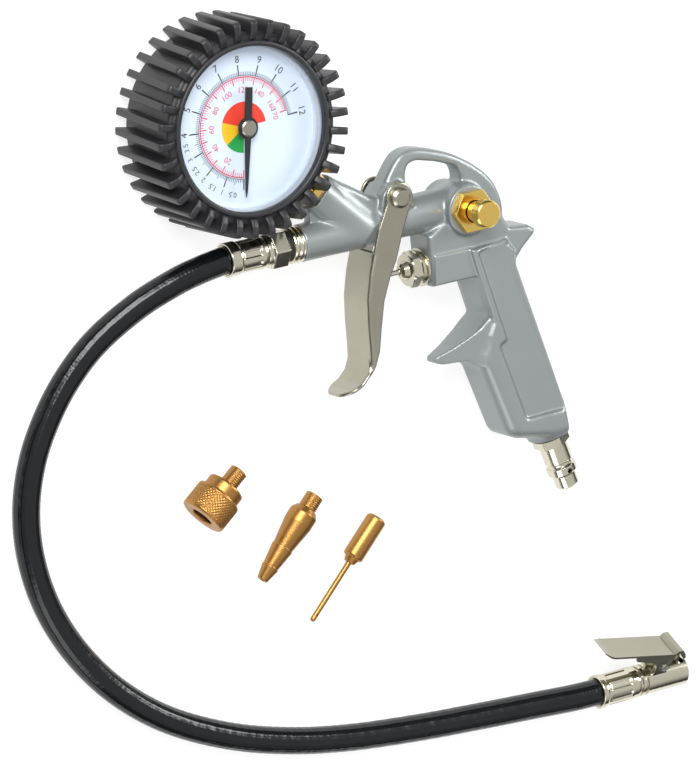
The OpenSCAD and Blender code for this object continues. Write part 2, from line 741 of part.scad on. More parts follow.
module bleed_button() {
  color(BRASS) on_bleed() difference() {
    union() {
      translate([0, 0, 33.2]) cylinder(h = 8, r = button_neck_r);
      translate([0, 0, 40.2]) cylinder(h = button_top - 41.0, r = button_r);
      translate([0, 0, button_top - 0.8]) cylinder(h = 0.8, r1 = button_r, r2 = button_r - 0.8);
    }
    translate([0, 0, 33]) cylinder(h = 9.2, r = 2.0);
  }
}

module bleed_spring() {
  color(STEEL) on_bleed() translate([0, 0, spring_seat_z + 0.05])
    coil(3.55, 0.4, 33.1 - spring_seat_z, 4);
}

module gauge_stem() {
  color(BRASS) difference() {
    on_stem() {
      difference() {
        union() {
          bar(boss_start - 0.8, boss_start + stem_thread_len, stem_thread_r);
          bar(collar_start, boss_start - 1.0, stem_collar_r);
          bar(case_r - 4.6, boss_start, 6.0);
          translate([25, -6, -6]) cube([case_r - 27.8, 12, 12]);
          translate([2.5, -6, -11.6]) cube([26, 12, 2.4]);
          translate([25, -6, -11.6]) cube([3.5, 12, 8]);
        }
        bar(28, 80, 1.6);
      }
    }
    translate([0, 0, stem_z - bourdon_w / 2 - 0.05])
      rotate([0, 0, stem_angle + 6]) rotate_extrude(angle = 20)
        translate([bourdon_r - bourdon_t / 2 - 0.05, 0]) square([bourdon_t + 0.1, bourdon_w + 0.1]);
  }
}

module stem_washer() {
  color([0.6, 0.3, 0.2]) on_stem() ring_bar(boss_start - 1.0, boss_start, stem_collar_r, 6.0 + 0.5);
}

// Outline of one rib, drawn in a plane through the gauge's axis
RIB = [[boot_core_r - 1.3, 1.0], [boot_r - 1.2, 1.0], [boot_r, 2.2], [boot_r, boot_h - 1.8],
       [boot_r - 0.5, boot_h - 0.7], [boot_r - 1.6, boot_h - 0.15], [lip_r + 3.4, boot_h - 0.3],
       [lip_r + 1.8, boot_h - 1.4], [lip_r + 1.8, boot_h - 3.4], [boot_core_r - 1.3, boot_h - 4.8]];

module rubber_boot() {
  color(RUBBER) difference() {
    union() {
      rotate_extrude() polygon([[0, 0], [boot_core_r - 1.7, 0], [boot_core_r - 1, 0.7],
        [boot_core_r, 2.0], [boot_core_r, boot_h - 4.6], [boot_core_r - 1.2, boot_h - 3.4],
        [lip_r + 3.2, boot_h - 3.2], [lip_r + 2.2, boot_h - 1.5], [lip_r + 0.6, boot_h - 1.4],
        [lip_r, boot_h - 2.0], [lip_r, case_top + 0.1], [0, case_top + 0.1]]);
      for (k = [0 : rib_count - 1])
        rotate([0, 0, rib_phase + 360 * k / rib_count]) translate([0, 0, boot_h])
          rotate([-rib_lean, 0, 0]) translate([0, rib_w / 2, -boot_h]) rotate([90, 0, 0])
            linear_extrude(height = rib_w) polygon(RIB);
    }
    translate([0, 0, boot_back]) cylinder(h = case_top + 0.1 - boot_back, r = case_r + 0.1);
    translate([0, 0, boot_back]) cylinder(h = 60, r = lip_r);
    on_stem() bar(30, boot_r + 10, 6.0 + pass_gap);
  }
}

module gauge_case() {
  color(STEEL) difference() {
    translate([0, 0, boot_back + 0.1]) cylinder(h = case_top - boot_back - 0.1, r = case_r);
    translate([0, 0, boot_back + 1.1]) cylinder(h = 60, r = case_r - case_wall);
    translate([0, 0, dial_z - dial_t]) cylinder(h = 60, r = case_r - 0.7);
    on_stem() bar(case_r - 8, case_r + 10, 6.0 + 0.1);
  }
}

module bezel_ring() {
  color([0.85, 0.85, 0.83]) translate([0, 0, dial_z + 0.02]) difference() {
    cylinder(h = bezel_top - dial_z - 0.04, r = case_r - 0.8);
    translate([0, 0, -1]) cylinder(h = 10, r1 = bezel_r - 0.3, r2 = bezel_r + 0.3);
  }
}

module lens() {
  color([0.8, 0.9, 0.95, 0.3]) difference() {
    union() {
      translate([0, 0, bezel_top]) cylinder(h = case_top - bezel_top, r = case_r - 0.8);
      translate([0, 0, case_top - 1]) cylinder(h = lens_top - case_top + 0.4, r = lens_r);
      translate([0, 0, lens_top - 0.6]) cylinder(h = 0.6, r1 = lens_r, r2 = lens_r - 0.6);
    }
    translate([0, 0, bezel_top - 1])
      cylinder(h = lens_top - lens_t - bezel_top + 1, r = lens_r - lens_wall);
  }
}

module dial_plate() {
  color([0.95, 0.95, 0.95]) translate([0, 0, dial_z - dial_t]) difference() {
    cylinder(h = dial_t, r = case_r - 0.8);
    translate([0, 0, -1]) cylinder(h = 3, r = 2.4);
  }
}

module bourdon_tube() {
  color(BRASS) translate([0, 0, stem_z - bourdon_w / 2]) {
    rotate([0, 0, stem_angle + 7]) rotate_extrude(angle = bourdon_sweep)
      translate([bourdon_r - bourdon_t / 2, 0]) difference() {
        square([bourdon_t, bourdon_w]);
        translate([0.5, 0.6]) square([bourdon_t - 1, bourdon_w - 1.2]);
      }
    rotate([0, 0, stem_angle + 7 + bourdon_sweep - 1]) rotate_extrude(angle = 7)
      translate([bourdon_r - bourdon_t / 2, 0]) square([bourdon_t, bourdon_w]);
  }
}

module tip_link() {
  a = stem_angle + 7 + bourdon_sweep + 3;
  color(BRASS) translate([0, 0, sector_z + sector_t + 0.3]) rotate([0, 0, a])
    translate([bourdon_r - bourdon_t / 2 - 9.0, -0.9, 0]) cube([9.0, 1.8, 0.8]);
}

module movement_outline() {
  rotate([0, 0, sector_dir]) translate([-9.5, -9]) square([32.5, 18]);
}

module movement_base() {
  color(BRASS) {
    translate([0, 0, 9.9]) linear_extrude(height = 1.2) difference() {
      movement_outline();
      circle(r = arbor_r + run_gap);
      rotate([0, 0, sector_dir]) translate([centre_gap, 0]) circle(r = arbor_r + run_gap);
    }
    for (p = [[-7, -6.8], [-7, 6.8], [20.8, -7], [20.8, 7]])
      rotate([0, 0, sector_dir]) translate([p[0], p[1], 10.5]) cylinder(h = 13.9, r = 1.4);
  }
}

module movement_top() {
  color(BRASS) translate([0, 0, 24.4]) linear_extrude(height = 1.2) difference() {
    movement_outline();
    circle(r = arbor_r + run_gap);
    rotate([0, 0, sector_dir]) translate([centre_gap, 0]) circle(r = arbor_r + run_gap);
  }
}

// Corner points of one gear tooth of a gear with radius r, centred on the angle a
function tooth(r, a, m, side) = [
  [(r - 1.2 * m) * cos(a - side * 62 * m / r), (r - 1.2 * m) * sin(a - side * 62 * m / r)],
  [r * cos(a - side * 36 * m / r), r * sin(a - side * 36 * m / r)],
  [(r + 0.8 * m) * cos(a - side * 18 * m / r), (r + 0.8 * m) * sin(a - side * 18 * m / r)],
  [(r + 0.8 * m) * cos(a + side * 18 * m / r), (r + 0.8 * m) * sin(a + side * 18 * m / r)],
  [r * cos(a + side * 36 * m / r), r * sin(a + side * 36 * m / r)],
  [(r - 1.2 * m) * cos(a + side * 62 * m / r), (r - 1.2 * m) * sin(a + side * 62 * m / r)]];

// The toothed edge of the sector
function sector_teeth_line() =
  [for (k = [-11 : 3], p = tooth(sector_r, 180 + 360 * k / sector_teeth, gear_module, 1)) p];

module sector_gear() {
  color(BRASS) rotate([0, 0, sector_dir]) translate([centre_gap, 0, 0]) {
    translate([0, 0, sector_z]) linear_extrude(height = sector_t) difference() {
      union() {
        polygon(concat([[0, 0]], sector_teeth_line()));
        circle(r = 2.6);
        translate([-1.4, -1.4]) square([6.4, 2.8]);
      }
      polygon(concat([for (a = [136, 148, 160, 172, 184]) 11.2 * [cos(a), sin(a)]],
        [[-4.2, 0.9], [-4.0, 3.2]]));
    }
    translate([0, 0, 9.4]) cylinder(h = 16.6, r = arbor_r);
  }
}

module pinion_arbor() {
  color(STEEL) {
    translate([0, 0, sector_z - 0.9]) linear_extrude(height = 3)
      polygon([for (k = [0 : pinion_teeth - 1],
        p = tooth(pinion_r, 360 * k / pinion_teeth, gear_module, 1)) p]);
    translate([0, 0, 9.4]) cylinder(h = pointer_z - 9.4, r = arbor_r);
  }
}

module hairspring() {
  p = [for (i = [0 : 84], r = 1.9 + 4.0 * i / 84)
    [r * cos(360 * i / 21), r * sin(360 * i / 21), 21.6]];
  color(BRASS) sweep(p, 0.2, 6);
}

module pointer() {
  color([0.03, 0.03, 0.03]) rotate([0, 0, zero_angle]) translate([0, 0, pointer_z])
    linear_extrude(height = 0.5) {
      polygon([[-pointer_tail, -pointer_w / 2], [-hub_r, -pointer_w / 2], [hub_r, -1.5],
        [pointer_len - 3, -0.55], [pointer_len, 0], [pointer_len - 3, 0.55], [hub_r, 1.5],
        [-hub_r, pointer_w / 2], [-pointer_tail, pointer_w / 2]]);
      circle(r = hub_r + 1.2);
    }
}

module pointer_hub() {
  color(STEEL) translate([0, 0, pointer_z + 0.5]) {
    cylinder(h = 0.7, r = hub_r);
    translate([0, 0, 0.7]) cylinder(h = 0.4, r1 = hub_r, r2 = hub_r - 0.6);
  }
}

module nose_ring() {
  color(STEEL) on_barrel() ring_bar(19.9, nose_x, 7.9, 5.5 + 0.02);
}

module nose_washer() {
  color(RUBBER) on_barrel() ring_bar(17.5, 19.9, 6.6, 5.5 + 0.02);
}

module hose_fitting() {
  color(STEEL) on_barrel() difference() {
    union() {
      bar(ferrule_x0 + 0.4, ferrule_x1 + 0.3, barb_r);
      bar(ferrule_x1, ferrule_x1 + 2.2, 6.9);
      hex_bar(ferrule_x1 + 2.2, 17.5, hose_af);
      bar(17.0, nose_x + 7, 5.5);
    }
    bar(ferrule_x0 - 1, nose_x + 8, 2.6);
  }
}

// A crimped sleeve: a round skirt round the hose's end, and eight crimped flats
module crimped_sleeve(length, skirt, skirt_len) {
  difference() {
    union() {
      cone(0, 0.7, skirt - 0.7, skirt);
      bar(0.7, skirt_len - 0.8, skirt);
      cone(skirt_len - 0.8, skirt_len, skirt, min(skirt, ferrule_r) - 0.6);
      rotate([11, 0, 0]) translate([skirt_len - 1, 0, 0]) rotate([0, 90, 0])
        cylinder(h = length - skirt_len + 1, r = min(skirt, ferrule_r), $fn = 8);
    }
    bar(-1, length + 1, barb_r);
  }
}

module gun_ferrule() {
  color(STEEL) on_barrel() translate([ferrule_x0, 0, 0])
    crimped_sleeve(ferrule_len, skirt_r, 7.4);
}

module hose_tube() {
  color(RUBBER) sweep(concat([[ferrule_x0, barrel_y, mid_z]], fine(ROUTE, hose_steps),
    [[chuck_pos[0], chuck_pos[1], chuck_z]]), hose_r, hose_sides);
}

module chuck_ferrule() {
  color(STEEL) on_chuck() crimped_sleeve(chuck_ferrule_len, chuck_skirt_r, 3.6);
}

module chuck_body() {
  pin_x = chuck_len - thumb_pin_x;
  seal_x = chuck_len - mouth_deep - 2.6;
  color(STEEL) on_chuck() difference() {
    union() {
      bar(0.4, chuck_ferrule_len + 0.1, barb_r);
      bar(chuck_ferrule_len, chuck_ferrule_len + 1.0, chuck_r - 0.9);
      bar(chuck_ferrule_len + 1.0, chuck_ferrule_len + 2.6, chuck_r);
      bar(chuck_ferrule_len + 2.6, chuck_ferrule_len + 3.8, chuck_r - 0.9);
      bar(chuck_ferrule_len + 3.8, chuck_len - 1.0, chuck_r);
      cone(chuck_len - 1.0, chuck_len, chuck_r, chuck_r - 0.9);
      for (z = [-4.4, 2.8])
        translate([0, 0, z]) linear_extrude(height = 1.6)
          polygon([[pin_x - 4.0, 3.0], [pin_x - 2.6, thumb_pin_y + 0.8], [pin_x - 1.4, thumb_pin_y + 2.0],
            [pin_x + 1.4, thumb_pin_y + 2.0], [pin_x + 2.6, thumb_pin_y + 0.8], [pin_x + 4.0, 3.0]]);
    }
    bar(-1, seal_x + 1, 1.6);
    bar(chuck_ferrule_len + 5, seal_x + 0.5, 2.7);
    bar(seal_x, seal_x + 2.6, mouth_r + 0.6);
    bar(seal_x + 1, chuck_len + 1, mouth_r);
    translate([chuck_len - 6.2, 3.0, -2.4]) cube([4.2, 12, 4.8]);
    translate([pin_x, thumb_pin_y, -9]) cylinder(h = 18, r = 1.0);
  }
}

module chuck_seal() {
  color(RUBBER) on_chuck() translate([chuck_len - mouth_deep - 2.6, 0, 0])
    ring_bar(0, 2.6, mouth_r + 0.6, 2.4);
}

module chuck_depressor() {
  color(BRASS) on_chuck() translate([chuck_len - mouth_deep - 2.6, 0, 0]) {
    bar(-2.6, 2.4, 0.9);
    bar(-3.8, -2.4, 2.7);
  }
}

module chuck_lever_pin() {
  color(STEEL) on_chuck()
    translate([chuck_len - thumb_pin_x, thumb_pin_y, -thumb_w / 2 - 0.5]) {
      cylinder(h = thumb_w + 1.0, r = 1.0);
      cylinder(h = 0.4, r = 1.6);
      translate([0, 0, thumb_w + 0.6]) cylinder(h = 0.4, r = 1.6);
    }
}

module chuck_lever() {
  pin_x = chuck_len - thumb_pin_x;
  rise = tan(thumb_slope);
  x1 = pin_x + 4.6;
  y1 = thumb_pin_y + 5.4;
  x0 = x1 - thumb_len * cos(thumb_slope);
  lift = (x1 - x0 - 6) * rise;
  color(STEEL) on_chuck() difference() {
    union() {
      translate([0, 0, -thumb_w / 2]) linear_extrude(height = thumb_w)
        polygon([[x1, y1], [x0 + 6, y1 + lift], [x0 + 2.4, y1 + lift + 1.3], [x0, y1 + lift + 3.2],
          [x0 - 0.6, y1 + lift + 3.2 + thumb_t], [x0 + 2.2, y1 + lift + 1.3 + thumb_t],
          [x0 + 6, y1 + lift + thumb_t], [x1 - 0.4, y1 + thumb_t], [x1 + 1.2, y1 + thumb_t + 1.3],
          [x1 + 3.6, y1 + thumb_t + 1.1], [x1 + 5.4, y1 - 0.6], [x1 + 6.0, y1 - 3.0],
          [x1 + 4.9, y1 - 3.0], [x1 + 4.2, y1 - 1.0], [x1 + 3.0, y1 + 0.6], [x1 + 1.6, y1 + 1.0]]);
      translate([0, 0, -2.1]) linear_extrude(height = 4.2)
        polygon([[x1 + 4.9, y1 - 2.8], [x1 + 6.0, y1 - 2.8], [x1 + 6.6, 4.7], [x1 + 5.4, 5.2]]);
      for (z = [-thumb_w / 2, thumb_w / 2 - thumb_t])
        translate([0, 0, z]) linear_extrude(height = thumb_t)
          polygon([[x1 - 22, y1 + 22 * rise + 0.4], [x1 - 21, y1 + 22 * rise - 2.6],
            [x1 - 12, y1 + 12 * rise - 3.6], [x1 - 8.6, thumb_pin_y + 1.4], [pin_x - 2.2, thumb_pin_y - 1.6],
            [pin_x, thumb_pin_y - 2.5], [pin_x + 2.2, thumb_pin_y - 1.6], [x1 - 1.4, thumb_pin_y + 1.4],
            [x1, y1 + 0.4]]);
    }
    translate([pin_x, thumb_pin_y, -9]) cylinder(h = 18, r = 1.0 + run_gap);
    for (s = [0, 1])
      mirror([0, 0, s]) translate([x0 - 1, y1 + lift - 3, thumb_w / 2 - 1.9])
        rotate([0, -22, 0]) cube([12, 12, 8]);
  }
}

module chuck_spring() {
  color(STEEL) on_chuck() translate([chuck_len - thumb_pin_x, thumb_pin_y, -2.6]) coil(1.45, 0.3, 5.2, 5);
}

module on_adapter() {
  translate([adapter_pos[0], adapter_pos[1], adapter_r + floor_gap])
    rotate([0, 0, adapter_turn]) children();
}

module valve_adapter() {
  color(BRASS) on_adapter() difference() {
    union() {
      cone(0, 0.9, adapter_r - 0.9, adapter_r);
      bar(0.9, adapter_body_len - 1.0, adapter_r);
      cone(adapter_body_len - 1.0, adapter_body_len, adapter_r, adapter_r - 1.0);
      bar(adapter_body_len - 0.1, adapter_step_len - 1.0, adapter_step_r);
      cone(adapter_step_len - 1.0, adapter_step_len, adapter_step_r, adapter_step_r - 1.0);
      bar(adapter_step_len - 0.1, adapter_len - 0.6, adapter_thread_r);
      cone(adapter_len - 0.6, adapter_len, adapter_thread_r, adapter_thread_r - 0.6);
    }
    bar(-1, adapter_mouth_deep + 0.1, adapter_mouth_r);
    bar(adapter_mouth_deep, adapter_mouth_deep + 2.4, adapter_mouth_r + 0.6);
    bar(adapter_mouth_deep + 1, adapter_len + 1, 1.9);
    for (k = [0 : 23])
      rotate([15 * k, 0, 0]) translate([1.8, adapter_r + 0.3, 0]) rotate([45, 0, 0])
        translate([0, -0.45, -0.45]) cube([adapter_body_len - 3.6, 0.9, 0.9]);
  }
}

module adapter_seal() {
  color(RUBBER) on_adapter()
    ring_bar(adapter_mouth_deep, adapter_mouth_deep + 2.38, adapter_mouth_r + 0.58, 2.2);
}

module taper_nozzle() {
  color(BRASS) translate([nozzle_pos[0], nozzle_pos[1], nozzle_flange_r + floor_gap])
    rotate([0, 0, nozzle_turn]) difference() {
      union() {
        cone(0, 6.8, nozzle_tip_r, 3.9);
        cone(6.8, 16.4, 3.5, 4.9);
        cone(16.4, 28.4, 4.4, nozzle_flange_r - 0.1);
        bar(28.4, 33.4, nozzle_flange_r);
        cone(33.4, 36.0, nozzle_flange_r, adapter_thread_r + 0.6);
        bar(35.9, nozzle_len - 0.6, adapter_thread_r);
        cone(nozzle_len - 0.6, nozzle_len, adapter_thread_r, adapter_thread_r - 0.6);
      }
      bar(-1, nozzle_len + 1, 1.2);
    }
}

module on_needle() {
  translate([needle_pos[0], needle_pos[1], needle_head_r + floor_gap])
    rotate([0, 0, needle_turn]) children();
}

module needle_head() {
  color(BRASS) on_needle() difference() {
    union() {
      cone(needle_len - needle_head_len - 2.4, needle_len - needle_head_len, 2.4, 3.2);
      cone(needle_len - needle_head_len, needle_len - needle_head_len + 0.8, needle_head_r - 0.8,
        needle_head_r);
      bar(needle_len - needle_head_len + 0.8, needle_len - 1.0, needle_head_r);
      cone(needle_len - 1.0, needle_len, needle_head_r, needle_head_r - 1.0);
    }
    bar(needle_len - needle_head_len - 3, needle_len + 1, needle_r - 0.3);
  }
}

module needle_tube() {
  color(BRASS) on_needle() difference() {
    union() {
      bar(needle_r, needle_len - needle_head_len - 2.4, needle_r);
      bar(needle_r, needle_len - needle_head_len + 8, needle_r - 0.3);
      translate([needle_r, 0, 0]) sphere(r = needle_r, $fn = 24);
    }
    translate([3.4, 0, -2]) cylinder(h = 4, r = 0.35, $fn = 16);
    bar(2.6, needle_len - needle_head_len + 9, needle_r - 0.6);
  }
}

body_casting();
inlet_nipple();
nipple_seal();
valve_gland_nut();
gland_oring();
valve_seat();
valve_stem();
valve_poppet();
valve_spring();
lever_pivot_pin();
pin_clip();
trigger_lever();
bleed_bush();
bleed_stem();
bleed_seal();
bleed_button();
bleed_spring();
gauge_stem();
stem_washer();
rubber_boot();
gauge_case();
bezel_ring();
lens();
dial_plate();
bourdon_tube();
tip_link();
movement_base();
movement_top();
sector_gear();
pinion_arbor();
hairspring();
pointer();
pointer_hub();
nose_ring();
nose_washer();
hose_fitting();
gun_ferrule();
hose_tube();
chuck_ferrule();
chuck_body();
chuck_seal();
chuck_depressor();
chuck_lever_pin();
chuck_lever();
chuck_spring();
valve_adapter();
adapter_seal();
taper_nozzle();
needle_head();
needle_tube();
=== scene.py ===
# %% [markdown]
# # A portable tire inflator
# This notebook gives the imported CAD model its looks. Every moving body keeps its own pieces, so the
# model can still be posed afterwards. Blender works in metres, but the shapes below are written in
# millimetres, as the CAD source is, and are scaled when they become a mesh.
# The frame is the CAD frame: the gauge's axis is Z, the floor is z = 0, the barrel runs along X.

# %% Load the frame
import bpy
import json
import math
import numpy as np
import openvdb
import mathutils.geometry
from mathutils import Matrix, Vector


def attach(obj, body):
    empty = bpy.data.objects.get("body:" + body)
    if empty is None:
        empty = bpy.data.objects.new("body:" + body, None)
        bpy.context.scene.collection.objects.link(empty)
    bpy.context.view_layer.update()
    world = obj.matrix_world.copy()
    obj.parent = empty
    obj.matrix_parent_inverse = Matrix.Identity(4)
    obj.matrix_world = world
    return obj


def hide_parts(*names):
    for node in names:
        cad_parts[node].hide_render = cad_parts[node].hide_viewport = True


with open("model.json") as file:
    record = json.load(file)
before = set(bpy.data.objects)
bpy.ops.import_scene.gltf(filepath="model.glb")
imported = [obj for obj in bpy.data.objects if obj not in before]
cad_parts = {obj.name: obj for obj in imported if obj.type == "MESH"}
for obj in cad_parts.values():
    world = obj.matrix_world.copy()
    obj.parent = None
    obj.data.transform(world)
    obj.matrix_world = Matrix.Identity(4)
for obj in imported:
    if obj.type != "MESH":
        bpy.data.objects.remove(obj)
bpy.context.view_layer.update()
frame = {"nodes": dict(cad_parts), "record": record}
NODES = frame["nodes"]
MM = 0.001
print("loaded", len(NODES), "CAD nodes")

# %% [markdown]
# ## Camera
# A product photograph is taken from far away with a long lens. One can match it by eye, or from
# what is known to be round or straight, which is surer. Here the printed circle of the dial gives
# the tilt of the gauge's axis (33 degrees), the barrel gives the turn, and the hose keeps the same
# width near and far, which asks for a long lens. The columns of the matrix are the camera's
# right, up and backward directions in the frame.

# %% Camera
CAMERA_AXES = np.array([[0.8451, 0.2070, -0.4929],
                        [-0.1019, 0.9674, 0.2317],
                        [0.5248, -0.1455, 0.8387]])
CAMERA_PLACE = (-1.4636, 0.5877, 2.5836)
camera_data = bpy.data.cameras.new("camera")
camera_data.sensor_width = 36.0
camera_data.lens = 340.3
camera_data.clip_end = 20.0
camera_data.dof.use_dof = False
camera = bpy.data.objects.new("camera", camera_data)
bpy.context.scene.collection.objects.link(camera)
bpy.context.scene.camera = camera
axes, _ = np.linalg.qr(CAMERA_AXES)
axes = axes * np.sign(np.sum(axes * CAMERA_AXES, axis=0))
camera.matrix_world = Matrix.Translation(CAMERA_PLACE) @ Matrix(axes.tolist()).to_4x4()
print("camera at", [round(v, 3) for v in camera.location])

# %% [markdown]
# ## Materials
# The tool mixes cast zinc, plated steel, brass, rubber and printed plastic. Pictures of such
# surfaces could be wrapped round the pieces, but nodes need no picture and have no seams. Each
# finish is one surface shader. Fine grain and soft clouds come from noise on the object's own
# coordinates, so they stay in place when a piece moves.

# %% Material helper
def feed(tree, node, values):
    """Sets inputs of a node, by name or number: to a value, or by a link from another's output."""
    for key, value in values.items():
        if isinstance(value, bpy.types.NodeSocket):
            tree.links.new(value, node.inputs[key])
        else:
            node.inputs[key].default_value = value


def add_node(tree, kind, values):
    """A new shader node with those inputs."""
    node = tree.nodes.new("ShaderNode" + kind)
    feed(tree, node, values)
    return node


def material(name, colour, metallic=0.0, rough=0.5, grain=0.0, grain_size=900.0, mottle=0.0,
             rough_spread=0.0, specular=0.5):
    """A surface of one colour. Grain is the height of fine bumps in metres, mottle the share by
    which the brightness changes in soft clouds, rough_spread by how much the roughness does."""
    m = bpy.data.materials.new(name)
    m.use_nodes = True
    tree = m.node_tree
    shader = tree.nodes["Principled BSDF"]
    feed(tree, shader, {"Base Color": (*colour, 1.0), "Metallic": metallic, "Roughness": rough,
                        "Specular IOR Level": specular})
    place = add_node(tree, "TexCoord", {}).outputs["Object"]
    if mottle > 0.0 or rough_spread > 0.0:
        cloud = add_node(tree, "TexNoise", {"Vector": place, "Scale": 70.0, "Detail": 5.0})
    if mottle > 0.0:
        tone = add_node(tree, "MapRange", {"Value": cloud.outputs["Fac"], "To Min": 1.0 - mottle,
                                           "To Max": 1.0 + mottle})
        tinted = add_node(tree, "VectorMath", {0: colour})
        tinted.operation = "SCALE"
        feed(tree, tinted, {"Scale": tone.outputs["Result"]})
        feed(tree, shader, {"Base Color": tinted.outputs["Vector"]})
    if rough_spread > 0.0:
        spread = add_node(tree, "MapRange", {"Value": cloud.outputs["Fac"],
                                             "To Min": rough - rough_spread,
                                             "To Max": rough + rough_spread})
        feed(tree, shader, {"Roughness": spread.outputs["Result"]})
    if grain > 0.0:
        noise = add_node(tree, "TexNoise", {"Vector": place, "Scale": grain_size, "Detail": 3.0})
        bump = add_node(tree, "Bump", {"Height": noise.outputs["Fac"], "Strength": 1.0,
                                       "Distance": grain})
        feed(tree, shader, {"Normal": bump.outputs["Normal"]})
    return m


LOOK = {}
print("material helper ready")

# %% [markdown]
# ## Metals
# The body is die-cast zinc under a thin grey lacquer, so it is only half a metal. The lever is
# folded from plated sheet, duller and browner than the bright nickel of the turned fittings.
# The bleed valve is polished brass. The loose adapters are raw brass, darker and blotchy.

# %% Metals
METALS = {
    "casting": dict(colour=(0.268, 0.294, 0.294), metallic=0.50, rough=0.36, grain=0.00003,
                    grain_size=2600.0, mottle=0.04),
    "nickel": dict(colour=(0.62, 0.59, 0.48), metallic=1.0, rough=0.16, grain=0.00001, mottle=0.05,
                   rough_spread=0.05),
    "lever_metal": dict(colour=(0.37, 0.355, 0.285), metallic=1.0, rough=0.27, grain=0.00001,
                        grain_size=1500.0, mottle=0.10),
    "brass": dict(colour=(0.78, 0.54, 0.14), metallic=1.0, rough=0.22, grain=0.00001, mottle=0.05),
    "adapter_brass": dict(colour=(0.40, 0.205, 0.06), metallic=1.0, rough=0.38, grain=0.00006,
                          mottle=0.22),
    "spring_steel": dict(colour=(0.55, 0.55, 0.53), metallic=1.0, rough=0.32),
    "copper": dict(colour=(0.55, 0.30, 0.18), metallic=1.0, rough=0.35),
    "hub_metal": dict(colour=(0.45, 0.40, 0.32), metallic=1.0, rough=0.30),
}
LOOK.update({name: material(name, **values) for name, values in METALS.items()})
print("made", len(METALS), "metals")

# %% [markdown]
# ## Rubber, plastic and ink
# The boot is matt rubber with a fine skin. The hose has a glossy sheath, whose shine breaks up
# over the braid beneath, so its bumps are coarse. Inks are matt and differ only in colour.

# %% Rubber, plastic and ink
MATT_INK = 0.6
SOFT_AND_PRINTED = {
    "boot_rubber": dict(colour=(0.017, 0.017, 0.019), rough=0.40, grain=0.00004, grain_size=1800.0,
                        mottle=0.10),
    "seal_rubber": dict(colour=(0.015, 0.015, 0.015), rough=0.55),
    "hose_rubber": dict(colour=(0.003, 0.004, 0.005), rough=0.19, grain=0.00026, grain_size=170.0,
                        specular=0.38),
    "bezel_plastic": dict(colour=(0.72, 0.74, 0.78), rough=0.40),
    "dial_white": dict(colour=(0.70, 0.755, 0.84), rough=0.55),
    "pointer_black": dict(colour=(0.008, 0.008, 0.008), rough=0.5),
    "ink_black": dict(colour=(0.012, 0.012, 0.012), rough=MATT_INK),
    "ink_red": dict(colour=(0.72, 0.02, 0.06), rough=MATT_INK),
    "sector_green": dict(colour=(0.003, 0.33, 0.05), rough=MATT_INK),
    "sector_yellow": dict(colour=(0.95, 0.52, 0.003), rough=MATT_INK),
    "sector_red": dict(colour=(0.85, 0.04, 0.012), rough=MATT_INK),
}
LOOK.update({name: material(name, **values) for name, values in SOFT_AND_PRINTED.items()})
print("made", len(SOFT_AND_PRINTED), "rubbers, plastics and inks")

# %% [markdown]
# ## Lens
# The gauge's lens is a clear plastic disc. A glass shader would bend the light and take many
# samples, while so thin a disc hardly moves the picture behind it. So light goes straight through,
# and a share of it is mirrored by Fresnel's law. The law holds for light that comes from outside.
# Taken from inside too, it would trap light at flat angles, and the dial would look black.

# %% Lens
def clear_material(name):
    """Clear plastic: the mirrored share is Fresnel's on faces seen from outside, and 0 from inside."""
    m = bpy.data.materials.new(name)
    m.use_nodes = True
    tree = m.node_tree
    tree.nodes.remove(tree.nodes["Principled BSDF"])
    through = add_node(tree, "BsdfTransparent", {"Color": (0.95, 0.965, 0.98, 1.0)})
    mirror = add_node(tree, "BsdfGlossy", {"Roughness": 0.04})
    fresnel = add_node(tree, "Fresnel", {"IOR": 1.28})
    face = add_node(tree, "NewGeometry", {})
    outside = add_node(tree, "Math", {0: 1.0, 1: face.outputs["Backfacing"]})
    outside.operation = "SUBTRACT"
    share = add_node(tree, "Math", {0: fresnel.outputs["Fac"], 1: outside.outputs["Value"]})
    share.operation = "MULTIPLY"
    mix = add_node(tree, "MixShader", {"Fac": share.outputs["Value"], 1: through.outputs["BSDF"],
                                       2: mirror.outputs["BSDF"]})
    feed(tree, tree.nodes["Material Output"], {"Surface": mix.outputs["Shader"]})
    return m


LOOK["lens_clear"] = clear_material("lens_clear")
print("made the lens material")

# %% [markdown]
# ## Finishes on the CAD pieces
# The record says which finish each CAD piece has. Two pieces look otherwise in the photograph:
# the needle's tube is brassy, and the pivot pin matches the lever.

# %% Finishes on the CAD pieces
SEEN_OTHERWISE = {"needle_tube": "adapter_brass", "lever_pivot_pin": "lever_metal"}
slot_of = {s["node"]: s["material_slot"] for s in frame["record"]["subparts"]}
for name, piece in NODES.items():
    piece.data.materials.clear()
    piece.data.materials.append(LOOK[SEEN_OTHERWISE.get(name, slot_of[name])])
print("dressed", len(NODES), "CAD pieces")

# %% [markdown]
# ## Small radii on the CAD pieces
# Real edges are never sharp: tools and tumbling break them, and the broken edge catches a line of
# light. The radius could be cut in CAD, but a bevel modifier is quicker to change. The CAD meshes
# keep their points; a weld joins them, and the bevel breaks every edge sharper than 28 degrees.

# %% Bevels
EDGE_RADII = {
    "inlet_nipple": 0.25, "lever_pivot_pin": 0.2, "bleed_bush": 0.3, "bleed_button": 0.4,
    "gauge_stem": 0.2, "hose_fitting": 0.5, "chuck_body": 0.3, "chuck_lever": 0.3,
    "needle_head": 0.3, "pointer_hub": 0.1, "chuck_lever_pin": 0.1}


